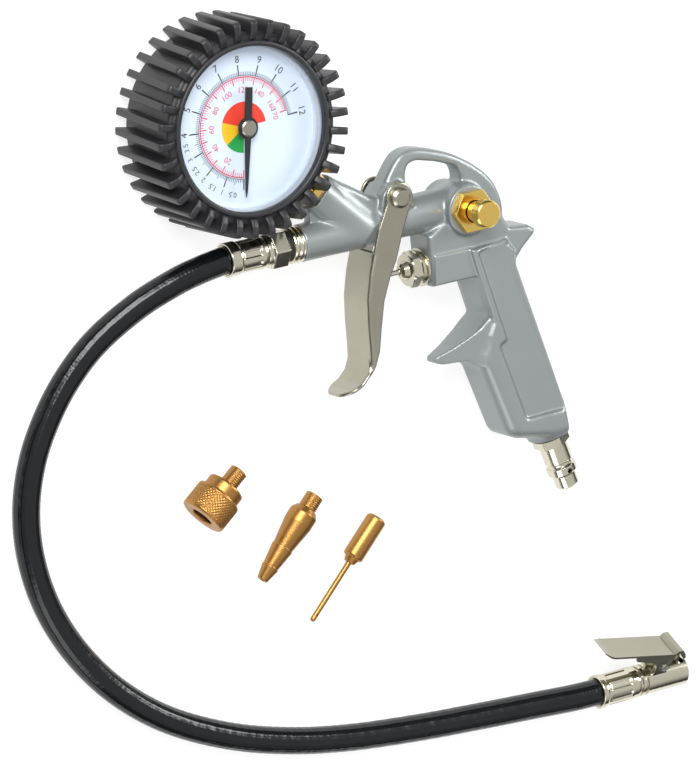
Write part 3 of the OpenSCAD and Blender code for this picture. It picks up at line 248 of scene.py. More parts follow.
def soften(name, width_mm):
    """Adds a weld, a bevel of that width and smooth shading to a CAD piece."""
    o = NODES[name]
    weld = o.modifiers.new("weld", "WELD")
    weld.merge_threshold = 0.000002
    bevel = o.modifiers.new("bevel", "BEVEL")
    bevel.width = width_mm * MM
    bevel.segments = 2
    bevel.limit_method = "ANGLE"
    bevel.angle_limit = math.radians(28)
    bevel.use_clamp_overlap = True
    normal = o.modifiers.new("normal", "WEIGHTED_NORMAL")
    normal.keep_sharp = True
    o.data.polygons.foreach_set("use_smooth", np.ones(len(o.data.polygons), bool))


for name, width in EDGE_RADII.items():
    soften(name, width)
print("softened", len(EDGE_RADII), "CAD pieces")

# %% [markdown]
# ## From arrays to meshes
# Every new piece below is worked out as arrays of points. `grid_faces` gives the faces of points
# that lie in closed rings.

# %% Mesh helpers
def put(name, points_mm, faces, body, look, replaces=(), smooth=True):
    """A mesh object from an (n, 3) array of points in millimetres and one or more index arrays."""
    data = bpy.data.meshes.new(name)
    points = np.asarray(points_mm, float) * MM
    data.vertices.add(len(points))
    data.vertices.foreach_set("co", points.astype(np.float32).ravel())
    blocks = faces if isinstance(faces, list) else [faces]
    blocks = [np.asarray(b, np.int64) for b in blocks if len(b)]
    loops = np.concatenate([b.ravel() for b in blocks])
    counts = np.concatenate([np.full(len(b), b.shape[1]) for b in blocks])
    starts = np.concatenate([[0], np.cumsum(counts)[:-1]])
    data.loops.add(len(loops))
    data.loops.foreach_set("vertex_index", loops.astype(np.int32))
    data.polygons.add(len(counts))
    data.polygons.foreach_set("loop_start", starts.astype(np.int32))
    data.polygons.foreach_set("use_smooth", np.full(len(counts), smooth))
    data.update(calc_edges=True)
    data.validate()
    data.materials.append(LOOK[look])
    o = bpy.data.objects.new(name, data)
    bpy.context.scene.collection.objects.link(o)
    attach(o, body)
    if replaces:
        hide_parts(*replaces)
    return o


def grid_faces(rings, columns):
    """Quads between each ring of points and the next: point j of ring i has the index
    i columns + j, and the last point of a ring is joined to its first."""
    i, j = np.meshgrid(np.arange(rings - 1), np.arange(columns), indexing="ij")
    here, beside = i * columns + j, i * columns + (j + 1) % columns
    return np.stack([here, beside, beside + columns, here + columns], -1).reshape(-1, 4)


print("mesh helpers ready")

# %% [markdown]
# ## Lines and outlines
# A few given points describe a hose's route or a casting's outline. The first helper
# draws a smooth line through all of them, the second rounds the corners of a closed outline.

# %% Lines and outlines
def smooth_line(points, steps):
    """A line through all points: between two of them it is
    half of (2b + (c-a)t + (2a-5b+4c-d)t^2 + (3b-a-3c+d)t^3), with a to d the four neighbours."""
    p = np.asarray(points, float)
    p = np.vstack([2 * p[0] - p[1], p, 2 * p[-1] - p[-2]])
    a, b, c, d = (v[:, None, :] for v in (p[:-3], p[1:-2], p[2:-1], p[3:]))
    t = (np.arange(steps) / steps)[None, :, None]
    line = 0.5 * (2 * b + (c - a) * t + (2 * a - 5 * b + 4 * c - d) * t ** 2
                  + (3 * b - a - 3 * c + d) * t ** 3)
    return np.vstack([line.reshape(-1, 3), p[-2]])


def soft_outline(points, r, steps=4):
    """The closed outline with each corner b replaced by the curve
    (1-t)^2 p + 2t(1-t) b + t^2 q, where p and q lie r away from b on its two edges."""
    corner = np.asarray(points, float)
    before, after = np.roll(corner, 1, axis=0) - corner, np.roll(corner, -1, axis=0) - corner
    back, ahead = np.linalg.norm(before, axis=1), np.linalg.norm(after, axis=1)
    p = corner + before / back[:, None] * np.minimum(r, 0.45 * back)[:, None]
    q = corner + after / ahead[:, None] * np.minimum(r, 0.45 * ahead)[:, None]
    t = np.linspace(0, 1, steps + 1)[None, :, None]
    curve = (1 - t) ** 2 * p[:, None] + 2 * t * (1 - t) * corner[:, None] + t ** 2 * q[:, None]
    return curve.reshape(-1, 2)


def across(line):
    """Unit sideways and upward directions at each point of a line that is never upright."""
    along = np.gradient(line, axis=0)
    along /= np.linalg.norm(along, axis=1)[:, None]
    side = np.cross([0.0, 0.0, 1.0], along)
    side /= np.linalg.norm(side, axis=1)[:, None]
    return side, np.cross(along, side)


def lengths_along(line):
    """Distance from the first point to each point, along the line."""
    return np.concatenate([[0.0], np.cumsum(np.linalg.norm(np.diff(line, axis=0), axis=1))])


print("line helpers ready")

# %% [markdown]
# ## Hose
# The rubber hose joins the gun and the chuck. A curve object with a round section would do, but
# the braid under its sheath shows as shallow crossing ridges, so the tube is worked out point by
# point. It follows the same route as in the CAD source. At the angle a and the length s along the
# route, its radius is HOSE_R + BRAID cos(9a + TWIST s) cos(9a - TWIST s).

# %% Hose
BARREL_Y, MID_Z = -56.0, 19.0
CHUCK_X, CHUCK_Y, CHUCK_Z = 157.5, -285.4, 7.6
HOSE_START, HOSE_END = [-10.3, BARREL_Y, MID_Z], [CHUCK_X, CHUCK_Y, CHUCK_Z]
ROUTE = [[-11.3, BARREL_Y, MID_Z], [-22, -57.6, 18.7], [-34, -60.7, 17.2],
         [-51.3, -67.8, 14], [-69.6, -78.9, 10.6], [-82.9, -91.2, 8.3], [-94, -105.4, 7],
         [-103.8, -123.4, 6.3], [-109.4, -143.7, 6.1], [-109.7, -165.3, 6.1],
         [-104.2, -188.1, 6.1], [-92.6, -210.4, 6.1], [-75.6, -230.7, 6.1],
         [-53.4, -247.8, 6.1], [-25.5, -261.4, 6.1], [3.3, -270.4, 6.1], [32.6, -276.1, 6.1],
         [67.3, -280, 6.1], [99.5, -282.4, 6.2], [125.4, -284, 6.6],
         [144.5, -285.1, 7.3], [156.5, CHUCK_Y, CHUCK_Z]]
HOSE_R, BRAID, TWIST, HOSE_SIDES = 5.86, 0.07, 1.9, 96
line = np.vstack([HOSE_START, smooth_line(ROUTE, 26), HOSE_END])
side, up = across(line)
along = lengths_along(line)
angle = np.linspace(0, 2 * np.pi, HOSE_SIDES, endpoint=False)[None, :]
twist = TWIST * along[:, None]
radius = HOSE_R + BRAID * np.cos(9 * angle + twist) * np.cos(9 * angle - twist)
ring = np.cos(angle)[:, :, None] * side[:, None, :] + np.sin(angle)[:, :, None] * up[:, None, :]
hose_points = (line[:, None, :] + radius[:, :, None] * ring).reshape(-1, 3)
hose = put("hose", hose_points, grid_faces(len(line), HOSE_SIDES), "gun", "hose_rubber",
           ["hose_tube"])
print("hose length", round(along[-1], 1), "mm")

# %% [markdown]
# ## Solid shapes from distance fields
# A die-cast body has no sharp edges: the metal must flow in the mould, and every inner corner is
# rounded. Rounding such joints edge by edge is slow and often fails. A distance field makes it
# easy: at every point of a grid stands the distance to the surface, negative inside, and blending
# two shapes is arithmetic on their two grids. The surface is where the field is zero.

# %% Distance fields
class Field:
    """A grid of distances over a box, in millimetres."""

    def __init__(self, low, high, step):
        self.low, self.step = np.array(low, float), step
        x, y, z = (np.arange(a, b + step, step) for a, b in zip(low, high))
        self.x, self.y, self.z = x[:, None, None], y[None, :, None], z[None, None, :]
        self.shape = (len(x), len(y), len(z))

    def polygon(self, outline):
        """Distance to a polygon in the XY plane: the least distance to an edge, negative where a
        line drawn from the point crosses an odd number of edges."""
        p = np.asarray(outline, float)
        px, py = self.x[:, :, 0], self.y[:, :, 0]
        best = np.full(self.shape[:2], 1e9)
        inside = np.zeros(self.shape[:2], bool)
        for (ax, ay), (bx, by) in zip(p, np.roll(p, -1, axis=0)):
            ex, ey = bx - ax, by - ay
            t = np.clip(((px - ax) * ex + (py - ay) * ey) / (ex * ex + ey * ey), 0, 1)
            best = np.minimum(best, (px - ax - t * ex) ** 2 + (py - ay - t * ey) ** 2)
            inside ^= ((ay > py) != (by > py)) & (px < ex * (py - ay) / (ey if ey else 1e-9) + ax)
        return np.where(inside, -1.0, 1.0) * np.sqrt(best)

    def plate(self, outline, half, r, middle=MID_Z):
        """A plate of half thickness half about z = middle, with edges rounded by r."""
        flat = self.polygon(outline)[:, :, None] + r
        thick = np.abs(self.z - middle) - (half - r)
        return rounded(flat, thick, r)

    def rod(self, start, end, ra, rb, r=0.5):
        """A cone from start to end with radii ra and rb and rims rounded by r."""
        a, b = np.array(start, float), np.array(end, float)
        length = np.linalg.norm(b - a)
        d = (b - a) / length
        dx, dy, dz = self.x - a[0], self.y - a[1], self.z - a[2]
        t = dx * d[0] + dy * d[1] + dz * d[2]
        square = dx ** 2 + dy ** 2 + dz ** 2 - t * t
        wide = np.sqrt(np.maximum(square, 0)) - (ra + (rb - ra) * np.clip(t / length, 0, 1)) + r
        cap = np.abs(t - length / 2) - length / 2 + r
        return rounded(wide, cap, r)


def rounded(a, b, r):
    """The space inside both a and b, grown by r: its rim is a quarter circle of radius r."""
    return np.minimum(np.maximum(a, b), 0) + np.hypot(np.maximum(a, 0), np.maximum(b, 0)) - r


print("distance fields ready")

# %% [markdown]
# ## Joining and cutting
# With a and b the two distances and h = max(k - |a - b|, 0) / k, both shapes together are
# min(a, b) - h^2 k / 4, which fills their corner with a blend of radius near k. A cut is the same
# with signs turned. The last helper walks through the grid and lays quads where it is zero.

# %% Joining and cutting
def join(a, b, k):
    """Both shapes, blended with a radius near k."""
    h = np.maximum(k - np.abs(a - b), 0) / k
    return np.minimum(a, b) - h * h * k / 4


def cut(a, b, k):
    """Shape a without shape b, with a rim rounded by about k."""
    h = np.maximum(k - np.abs(a + b), 0) / k
    return np.maximum(a, -b) + h * h * k / 4


def surface(name, field, values, body, look, replaces):
    """The surface of a distance field as a mesh object of quads."""
    grid = openvdb.FloatGrid(3 * field.step)
    near = np.clip(values, -3 * field.step, 3 * field.step)
    grid.copyFromArray(np.ascontiguousarray(near, np.float32))
    points, quads = grid.convertToQuads()
    points = np.asarray(points) * field.step + field.low
    return put(name, points, np.asarray(quads)[:, ::-1], body, look, replaces)


def at(x, y, z=MID_Z):
    """A point, in the gun's middle plane where no height is given."""
    return np.array([x, y, z], float)


def heading(degrees):
    """Unit direction in the XY plane."""
    return np.array([math.cos(math.radians(degrees)), math.sin(math.radians(degrees)), 0.0])


print("blends ready")

# %% [markdown]
# ## Die-cast body: barrel, gauge boss and hanging arch
# Air comes up the grip, passes the valve block and runs along the barrel. A boss branches off to
# the gauge at 45 degrees, with a web and a thin gusset in the corner. The arch above is a hook to
# hang the tool by, and the lug carries the lever's pin. The outlines follow the CAD ones.

# %% Barrel, boss and arch
f = Field((21, -167, 5.5), (143, -21, 32.5), 0.55)
GAUGE_AXIS = at(0, 0)
TO_GAUGE = heading(-45)
ARCH = [[60, -47.5], [65.6, -40.9], [71.8, -32], [76.2, -27.4], [81.2, -25.7], [86.9, -26.3],
        [99.4, -30.3], [108.9, -35.6], [117.1, -42], [122.2, -48.2], [124.7, -55.3],
        [125.2, -60], [124.6, -68], [100, -72], [86, -62], [62, -58]]
HOLE = [[78.6, -50.5], [78.4, -36.4], [80.2, -32.2], [84.6, -31.4], [94.1, -33.8],
        [103.8, -37.6], [105.2, -40.8], [105, -50.5]]
WEB = [[42.4, -30.5], [51.4, -35.8], [59.3, -41], [64, -43], [66, -56], [50, -56]]
GUSSET = [[31, -43], [31, -52], [58, -56], [50, -44], [38, -37]]
LUG = [[62.8, -47], [64.5, -42], [67.5, -38.9], [74, -37.8], [77.8, -41.2], [79.6, -50],
       [64, -52]]
body = f.rod(at(25.4, BARREL_Y), at(66, -55.8), 8.0, 8.3, 0.5)
body = join(body, f.rod(at(60, -55.2), at(108.5, -54.8), 8.3, 8.8, 3.0), 3.0)
body = join(body, f.rod(50.8 * TO_GAUGE + GAUGE_AXIS, 80 * TO_GAUGE + GAUGE_AXIS, 8.8, 8.8, 0.6), 2.0)
body = join(body, f.plate(WEB, 6.0, 3.0), 2.0)
body = join(body, f.plate(GUSSET, 2.6, 0.8), 1.0)
arch_hole = f.plate(soft_outline(HOLE, 2.0), 20, 0.5)
body = join(body, cut(f.plate(soft_outline(ARCH, 6.0), 5.2, 2.4), arch_hole, 2.2), 2.0)
body = join(body, f.plate(LUG, 8.2, 1.5), 1.5)
print("barrel, boss and arch on a grid of", f.shape)

# %% [markdown]
# ## Die-cast body: block, grip and finger spur
# The block holds the valve. The grip is wider than it, and its back edges are the roundest,
# because they lie in the palm. The spur keeps the hand from sliding up; it thins out towards
# its tip. Round bosses carry the inlet nipple and the bleed valve.

# %% Block, grip and spur
TO_INLET = heading(-73.4)
INLET = at(139.2, -162.8)
BLEED_X = 104.5
GRIP_HALF = 11.3
BACKBONE = [[84.5, -64], [84.5, -86], [106, -86], [106.9, -91], [110, -105],
            [103.2, -119], [103.1, -122.6], [113.3, -155.2], [114.8, -157.4], [118.4, -159.2],
            [125.4, -160.7], [136, -162.7], [147.4, -162.7], [126.9, -85], [127.3, -82.4],
            [130.6, -78.7], [137.2, -73.3], [137.9, -71.2], [134.8, -68.8], [125.2, -67.6],
            [121.3, -60], [110, -56], [95, -58]]
GRIP_UP = [[103.6, -73.4], [104.9, -80], [107.5, -91], [111.4, -106.5], [108.6, -112],
           [109, -125], [136.8, -125], [125.8, -84], [126, -80], [122, -72.4],
           [114, -73]]
GRIP_LOW = [[111.4, -104], [111.2, -106.5], [104.2, -119.5], [103.6, -122.5], [113.9, -154.7],
            [115.6, -157], [118.6, -158.8], [125.4, -160.3], [136, -162], [146.7, -162],
            [131.6, -104]]
GRIP_BACK = [[90, -60], [90, -170], [147.2, -162], [126.2, -84.5], [126.2, -60]]
BLOCK = [[86.4, -72.7], [103.8, -72.9], [105.6, -85.4], [85.2, -85.4]]
SPUR = [[112, -102.5], [106.4, -106.4], [102, -109.9], [92.8, -114.5], [85, -117.4],
        [84.3, -118.8], [84.8, -120], [87.4, -120.8], [97.9, -121], [104, -125],
        [114, -127]]
body = join(body, f.plate(BACKBONE, 8.6, 2.2), 1.6)
body = join(body, f.plate(BLOCK, 9.3, 0.6), 1.0)
grip = join(f.plate(GRIP_UP, GRIP_HALF, 1.3), f.plate(GRIP_LOW, GRIP_HALF, 4.0), 1.5)
body = join(body, np.maximum(grip, f.plate(GRIP_BACK, GRIP_HALF, 4.5)), 1.6)
thin_out = np.abs(f.z - MID_Z) - (3.7 + 0.295 * (f.x - 85.0))
body = join(body, np.maximum(f.plate(SPUR, 9.9, 1.8), thin_out), 1.8)
body = join(body, f.rod(-14 * TO_INLET + INLET, INLET, 10.2, 9.4, 0.8), 3.0)
bleed_boss = f.rod(at(BLEED_X, BARREL_Y, 7.5), at(BLEED_X, BARREL_Y, 30.5), 10.8, 10.8, 0.9)
body = join(body, bleed_boss, 2.0)
print("block, grip and spur joined")

# %% [markdown]
# ## Die-cast body: panels and bores
# A panel 1.4 mm deep in each side of the grip saves metal and gives the fingers an edge. After
# casting, the bores are drilled and the inlet's face is cut flat. The same cuts are made here.

# %% Panels and bores
PANEL = [[107.2, -75], [118.5, -72.6], [123, -74], [122.6, -84], [138.2, -138],
         [141.4, -150.6], [122.9, -151], [113.2, -116.9], [117.2, -115.6]]
BORES = {"hose": (at(20, BARREL_Y), at(34.4, BARREL_Y), 5.5),
         "gauge": (50 * TO_GAUGE + GAUGE_AXIS, 60 * TO_GAUGE + GAUGE_AXIS, 6.45),
         "bleed valve": (at(BLEED_X, BARREL_Y, 20.2), at(BLEED_X, BARREL_Y, 40), 6.5),
         "valve": (at(82, -78), at(96, -78), 5.5),
         "lever pin": (at(71, -44, 0), at(71, -44, 40), 2.0),
         "inlet": (-9 * TO_INLET + INLET, 3 * TO_INLET + INLET, 6.0)}
for face in (MID_Z + GRIP_HALF, MID_Z - GRIP_HALF):
    body = cut(body, f.plate(soft_outline(PANEL, 1.5), 1.4, 0.7, face), 2.0)
for start, end, r in BORES.values():
    body = np.maximum(body, -f.rod(start, end, r, r, 0.2))
body = np.maximum(body, -f.rod(INLET, 8 * TO_INLET + INLET, 14, 14, 0.2))
casting = surface("casting", f, body, "gun", "casting", ["body_casting"])
print("die-cast body has", len(casting.data.polygons), "faces and", len(BORES), "bores")

# %% [markdown]
# ## Trigger: a folded channel
# The trigger is stamped from sheet and folded to a channel, with a web for the fingers and a
# flange on each side that reaches up to the pin. Flat faces with a thickness modifier would give
# sheet too, but with sharp folds. So a plate, with edges rounded by the fold's outer radius, is
# hollowed out by a smaller plate, which leaves the wall, and the side outline and a round ear
# about the pin trim the two flanges.

# %% Trigger channel
g = Field((32, -126, 6.5), (80, -35, 31.5), 0.42)
LEVER_SIDE = [[64.6, -45.5], [59.3, -55.7], [56.3, -63.9], [52.7, -74.1], [50.3, -84.4],
              [49.5, -95.2], [49.3, -106], [48.8, -112], [47.2, -115.8], [48.7, -116.6],
              [51.4, -112.8], [53.9, -107.1], [56.1, -96.6], [58.6, -86.2], [62.9, -76.2],
              [66.4, -70.4], [70.4, -60.2], [74, -52.1], [77.4, -45.8]]
LEVER_OUT = [[56, -28], [51, -52], [55.6, -65.5], [52.7, -74.1], [50.3, -84.4], [49.5, -95.2],
             [49.3, -106], [48.9, -112], [48.9, -119], [92, -119], [92, -28]]
LEVER_IN = [[40, -28], [40, -63.6], [57.6, -64.8], [54.15, -74.5], [51.8, -84.6], [51, -95.3],
            [50.8, -106.1], [50.3, -112.4], [50.3, -119], [92, -119], [92, -28]]
LEVER_HALF, WALL_INSIDE, EAR_R, PIN_HOLE_R = 10.6, 9.1, 6.6, 2.15
from_pin = np.sqrt((g.x - 71.0) ** 2 + (g.y + 44.0) ** 2)
side_form = np.minimum(g.polygon(LEVER_SIDE)[:, :, None], from_pin - EAR_R)
channel = cut(g.plate(LEVER_OUT, LEVER_HALF, 2.4), g.plate(LEVER_IN, WALL_INSIDE, 1.2), 0.3)
channel = cut(channel, -side_form, 0.5)
print("channel on a grid of", g.shape)

# %% [markdown]
# ## Trigger: the toe
# Below the flanges the web runs on as a curled toe that ends in a half circle. It is the web's
# strip, kept inside that half circle and inside the fold's rounding, and it narrows a little where
# it meets the flanges, so that no corner stands out of the fold.

# %% Trigger toe
LEVER_TOE = [[48.95, -110.5], [48.8, -112], [47, -116], [43.5, -119.2], [39, -121.3],
             [34.6, -122.6], [35.1, -124.1], [39.5, -122.8], [44.4, -120.5], [48.3, -116.9],
             [50.3, -112.4], [50.4, -110.5]]
TOE_SKIN = LEVER_OUT[:8] + [[47.0, -116.0], [43.5, -119.2], [39.0, -121.3], [34.6, -122.6],
                            [28, -124.8], [28, -132], [92, -132], [92, -28]]
half_circle = np.hypot(np.minimum(g.x - 44.8, 0), g.z - MID_Z) - LEVER_HALF
toe_space = np.maximum(half_circle, g.plate(TOE_SKIN, LEVER_HALF, 2.0))
toe = cut(g.plate(LEVER_TOE, 10.2, 0.7), -toe_space, 0.4)
narrowing = 2.6 * np.clip((g.y + 115.5) / 5.0, 0, 1)
toe = np.maximum(toe, np.abs(g.z - MID_Z) - (10.3 - narrowing))
lever = np.maximum(join(channel, toe, 1.6), -(from_pin - PIN_HOLE_R))
trigger = surface("trigger", g, lever, "trigger", "lever_metal", ["trigger_lever"])
print("trigger has", len(trigger.data.polygons), "faces")

# %% [markdown]
# ## Valve gland
# The gland nut closes the valve and guides its push rod. It is turned from hexagon bar: a flange
# against the casting, a ring, the hexagon with chamfered corners, and a small cone round the rod.
# A cylinder cut by a boolean would do as well; here it is one table of rings, easy to change.
# Each row gives the place along X, the radius, and whether the hexagon shows there. A hexagon's
# radius at the angle a is R cos(30) / cos(a), with a measured from the middle of the nearest flat,
# and the row's own radius limits it, which makes the chamfer.

# %% Valve gland
VALVE_Y = -78.0
GLAND_POINTS, HEX_R = 144, 8.0
GLAND = np.array([[84.5, 7.9, 0], [83.9, 8.3, 0], [83, 8.3, 0], [82.7, 7.2, 0], [82.3, 7.2, 0],
                  [82, 7.7, 0], [81, 7.7, 0], [80.7, 7, 0], [80.6, 8, 1], [77.4, 8, 1],
                  [76.6, 6.9, 1], [76.4, 5.4, 0], [76.3, 4.2, 0], [74, 3.5, 0], [73.2, 2.2, 0],
                  [73.1, 1.5, 0]])
a = np.linspace(0, 2 * np.pi, GLAND_POINTS, endpoint=False)
from_flat = (a + math.radians(14)) % (np.pi / 3) - np.pi / 6
hexagon = HEX_R * math.cos(np.pi / 6) / np.cos(from_flat)
r = np.where(GLAND[:, 2:] > 0, np.minimum(hexagon[None], GLAND[:, 1:2]), GLAND[:, 1:2])
x = np.repeat(GLAND[:, :1], GLAND_POINTS, 1)
gland = np.stack([x, VALVE_Y + r * np.cos(a), MID_Z + r * np.sin(a)], -1)
put("gland", gland.reshape(-1, 3), grid_faces(len(GLAND), GLAND_POINTS)[:, ::-1], "gun", "nickel",
    ["valve_gland_nut"], smooth=False)
print("gland turned")

# %% [markdown]
# ## Turned pieces that lie along the tool
# Ferrules, rings and adapters are made on a lathe. Blender's Screw modifier could spin a line too,
# but a crimp or a knurl changes the radius round the piece as well as along it. So each is a
# line of (place along the axis, radius) points, filled up to a fine line and turned round its
# axis, with a rule that changes the radius.

# %% Turning
def turned(name, profile, origin, degrees, body, look, replaces, change=None, count=192):
    """Turns a line of (x, r) points about a level axis that leaves origin at that heading.
    Change gives the radius from x, r and the angle round the axis."""
    profile = np.asarray(profile, float)
    a = np.linspace(0, 2 * np.pi, count, endpoint=False)
    x, r = profile[:, :1], np.repeat(profile[:, 1:2], count, 1)
    if change is not None:
        r = change(x, r, a[None])
    c, s, _ = heading(degrees)
    sideways = r * np.cos(a)
    x = np.repeat(x, count, 1)
    points = np.stack([origin[0] + x * c - sideways * s, origin[1] + x * s + sideways * c,
                       origin[2] + r * np.sin(a)], -1)
    faces = grid_faces(len(profile), count)[:, ::-1]
    return put(name, points.reshape(-1, 3), faces, body, look, replaces)


def fine_line(points, step=0.25):
    """The same line with a point about every step, and each given corner kept."""
    p = np.asarray(points, float)
    parts = []
    for a, b in zip(p[:-1], p[1:]):
        n = max(1, int(np.ceil(np.linalg.norm(b - a) / step)))
        parts.append(a + (b - a) * (np.arange(n) / n)[:, None])
    return np.vstack(parts + [p[-1:]])


def between(x, start, end, run_out):
    """1 from start to end, falling to 0 over the run-out at each end, inside them."""
    return np.clip((x - start) / run_out, 0, 1) * np.clip((end - x) / run_out, 0, 1)


print("lathe ready")

# %% [markdown]
# ## Crimped ferrules
# A ferrule is a sleeve that a press squeezes onto the hose with eight jaws. Each jaw leaves a
# shallow flat: at the angle a the radius is less by CRIMP_DEEP clip(2 cos(8a) + 0.6, 0, 1).

# %% Crimped ferrules
CRIMP_DEEP = 0.6


def crimps(start, end, roll):
    """Eight flats pressed in between start and end, the first one rolled on by that angle."""
    def change(x, r, a):
        press = np.clip(2.0 * np.cos(8 * (a + roll)) + 0.6, 0, 1)
        return r - CRIMP_DEEP * between(x, start, end, 0.8) * press
    return change


GUN_FERRULE = [[0.3, 4], [0.3, 6.2], [0, 6.5], [0, 7.1], [0.3, 7.4], [4.6, 7.4], [5.3, 7],
               [14.6, 7], [15.6, 7.15], [16.6, 7.1], [17.8, 6.8], [18.1, 6.4], [18.1, 4],
               [0.3, 4]]
CHUCK_FERRULE = [[0.3, 4], [0.3, 6.2], [0, 6.6], [0, 7.2], [0.3, 7.5], [2.2, 7.5], [2.9, 7.1],
                 [4.2, 7.1], [15, 7.1], [16, 7.2], [18.6, 7.1], [19.6, 6.9], [19.9, 6.4],
                 [19.9, 4], [0.3, 4]]
turned("gun_ferrule_look", fine_line(GUN_FERRULE), HOSE_START, 0.0, "gun", "nickel",
       ["gun_ferrule"], crimps(5.6, 14.8, 0.25))
turned("chuck_ferrule_look", fine_line(CHUCK_FERRULE), HOSE_END, 0.2, "gun", "nickel",
       ["chuck_ferrule"], crimps(4.0, 15.2, 0.4))
print("pressed two ferrules")

# %% [markdown]
# ## Lock ring
# The ring between the hose's fitting and the barrel has three round ridges, so that fingers can
# turn it. They are round the whole way, so its line of points is all that it needs.

# %% Lock ring
RIDGES = [[19.9, 5.8], [19.9, 7.2], [20.2, 7.6], [20.8, 7.9], [21.6, 7.9], [22.1, 7.5], [22.3, 7.3],
          [22.6, 7.6], [23.2, 7.9], [23.8, 7.9], [24.2, 7.6], [24.4, 7.4], [24.7, 7.7], [25.3, 7.8],
          [25.4, 5.8]]
turned("nose_ring_look", fine_line(RIDGES, 0.2), at(0, BARREL_Y), 0.0, "gun", "nickel", ["nose_ring"])
print("turned the lock ring")

# %% [markdown]
# ## Valve adapter
# The adapter screws onto another kind of valve. Its body is knurled with a diamond pattern for
# the fingers, a depth of 0.42 (1 - sqrt|sin(20a + kx) sin(20a - kx)|) with k = 1.9, and its stem
# has a thread, a depth of 0.28 (0.5 - 0.5 cos(2 pi x)). Rings stand in for the helix, as they look
# the same and close on themselves.

# %% Valve adapter
ADAPTER = [[11, 1.9], [11, 5.4], [8.6, 5.4], [8.6, 4.8], [0.5, 4.8], [0.05, 5.3], [0, 5.8],
           [0, 9.2], [0.3, 9.9], [1, 10.2], [11.2, 10.2], [11.9, 9.9], [12.1, 9.2],
           [12.1, 8.5], [12.4, 8.4], [16.4, 8.4], [17.1, 8.1], [17.4, 7.4], [17.4, 4.3],
           [17.6, 4], [25.3, 4], [25.8, 3.4], [25.8, 1.9], [11, 1.9]]


def thread(x, deep, pitch):
    """Depth of a thread of that pitch at the place x."""
    return deep * (0.5 - 0.5 * np.cos(2 * np.pi * x / pitch))


def adapter_cut(x, r, a):
    """Knurl on the outside of the body, and thread on the outside of the stem."""
    on_body = (r > 9.9) * between(x, 1.2, 10.9, 0.5)
    on_stem = (r > 3.7) * (r < 4.2) * between(x, 17.6, 25.4, 0.4)
    diamonds = np.sqrt(np.abs(np.sin(20 * a + 1.9 * x) * np.sin(20 * a - 1.9 * x)))
    return r - 0.42 * on_body * (1 - diamonds) - on_stem * thread(x, 0.28, 1.0)


turned("valve_adapter_look", fine_line(ADAPTER), at(-29.6, -163.9, 10.25), 37.8, "loose_adapter",
       "adapter_brass", ["valve_adapter"], adapter_cut, 240)
print("knurled the valve adapter")

# %% [markdown]
# ## Taper nozzle
# The nozzle is pushed into the valve of a mattress or a boat. Its steps fit several widths, and
# its stem has the same kind of thread as the adapter, with a finer pitch.

# %% Taper nozzle
NOZZLE = [[0, 1.2], [0, 2.1], [0.25, 2.4], [6.5, 3.8], [6.8, 3.7], [6.9, 3.5], [16.1, 4.8],
          [16.4, 4.75], [16.5, 4.45], [28, 6.15], [28.6, 6.25], [33.2, 6.25], [33.7, 6.1],
          [35.8, 4.7], [36.1, 4.1], [36.3, 4], [42.3, 4], [42.8, 3.5], [42.8, 1.2], [0, 1.2]]


def nozzle_cut(x, r, a):
    """Thread on the outside of the stem."""
    return r - (r > 3.7) * between(x, 36.2, 42.6, 0.4) * thread(x, 0.25, 0.9)


turned("taper_nozzle_look", fine_line(NOZZLE), at(-1.9, -198.2, 6.35), 45.2, "loose_nozzle",
       "adapter_brass", ["taper_nozzle"], nozzle_cut)
print("turned the taper nozzle")

# %% [markdown]
# ## Rubber boot: one fin
# The boot is moulded rubber that saves the gauge when the tool is dropped: a cup with 34 fins. A
# fin could be a box with a bevel, but its outline has a slope at its foot and a lip at its front.
# So it is that outline with soft corners, spread over eight layers. The outer layers are drawn in
# a little, which rounds the fin's edges.

# %% One fin
FIN = [[38.9, 6.5], [44.9, 1], [45.8, 1.8], [45.8, 36.8], [45.3, 37.9], [44.2, 38.45],
       [40.4, 38.3], [37.4, 36.9], [36.9, 35.2], [38.9, 33.8]]
LAYERS = np.array([-1.6, -1.55, -1.38, -1.05, 1.05, 1.38, 1.55, 1.6])
DRAWN_IN = np.array([0.55, 0.30, 0.10, 0, 0, 0.10, 0.30, 0.55])


def inward(outline):
    """Unit directions that point into a closed anticlockwise outline, at its points."""
    d = np.roll(outline, -1, axis=0) - np.roll(outline, 1, axis=0)
    d /= np.maximum(np.linalg.norm(d, axis=1), 1e-9)[:, None]
    return np.stack([-d[:, 1], d[:, 0]], axis=1)


def end_cap(outline):
    """Triangles that fill the outline, all facing the same way: where the cross product of two
    sides is negative, the triangle's order is turned round."""
    cap = np.array(mathutils.geometry.tessellate_polygon([[Vector((*p, 0.0)) for p in outline]]))
    first, second, third = (outline[cap[:, i]] for i in range(3))
    u, v = second - first, third - first
    wrong = u[:, 0] * v[:, 1] - u[:, 1] * v[:, 0] < 0
    cap[wrong] = cap[wrong][:, ::-1]
    return cap


outline = soft_outline(FIN, 0.8)
count = len(outline)
flat = outline[None] + DRAWN_IN[:, None, None] * inward(outline)[None]
fin = np.stack([flat[:, :, 0], np.repeat(LAYERS[:, None], count, 1), flat[:, :, 1]], -1).reshape(-1, 3)
sides = grid_faces(len(LAYERS), count)[:, ::-1]
cap = end_cap(flat[0])
caps = np.vstack([cap, cap[:, ::-1] + (len(LAYERS) - 1) * count])
print("one fin has", len(fin), "points")

# %% [markdown]
# ## Rubber boot: all fins
# Every fin leans by the same small angle, turned about the radius at the height of the boot's
# front. A copy is the same array turned about Z, so all fins are made in one step. They are one
# object, because they are one moulding.

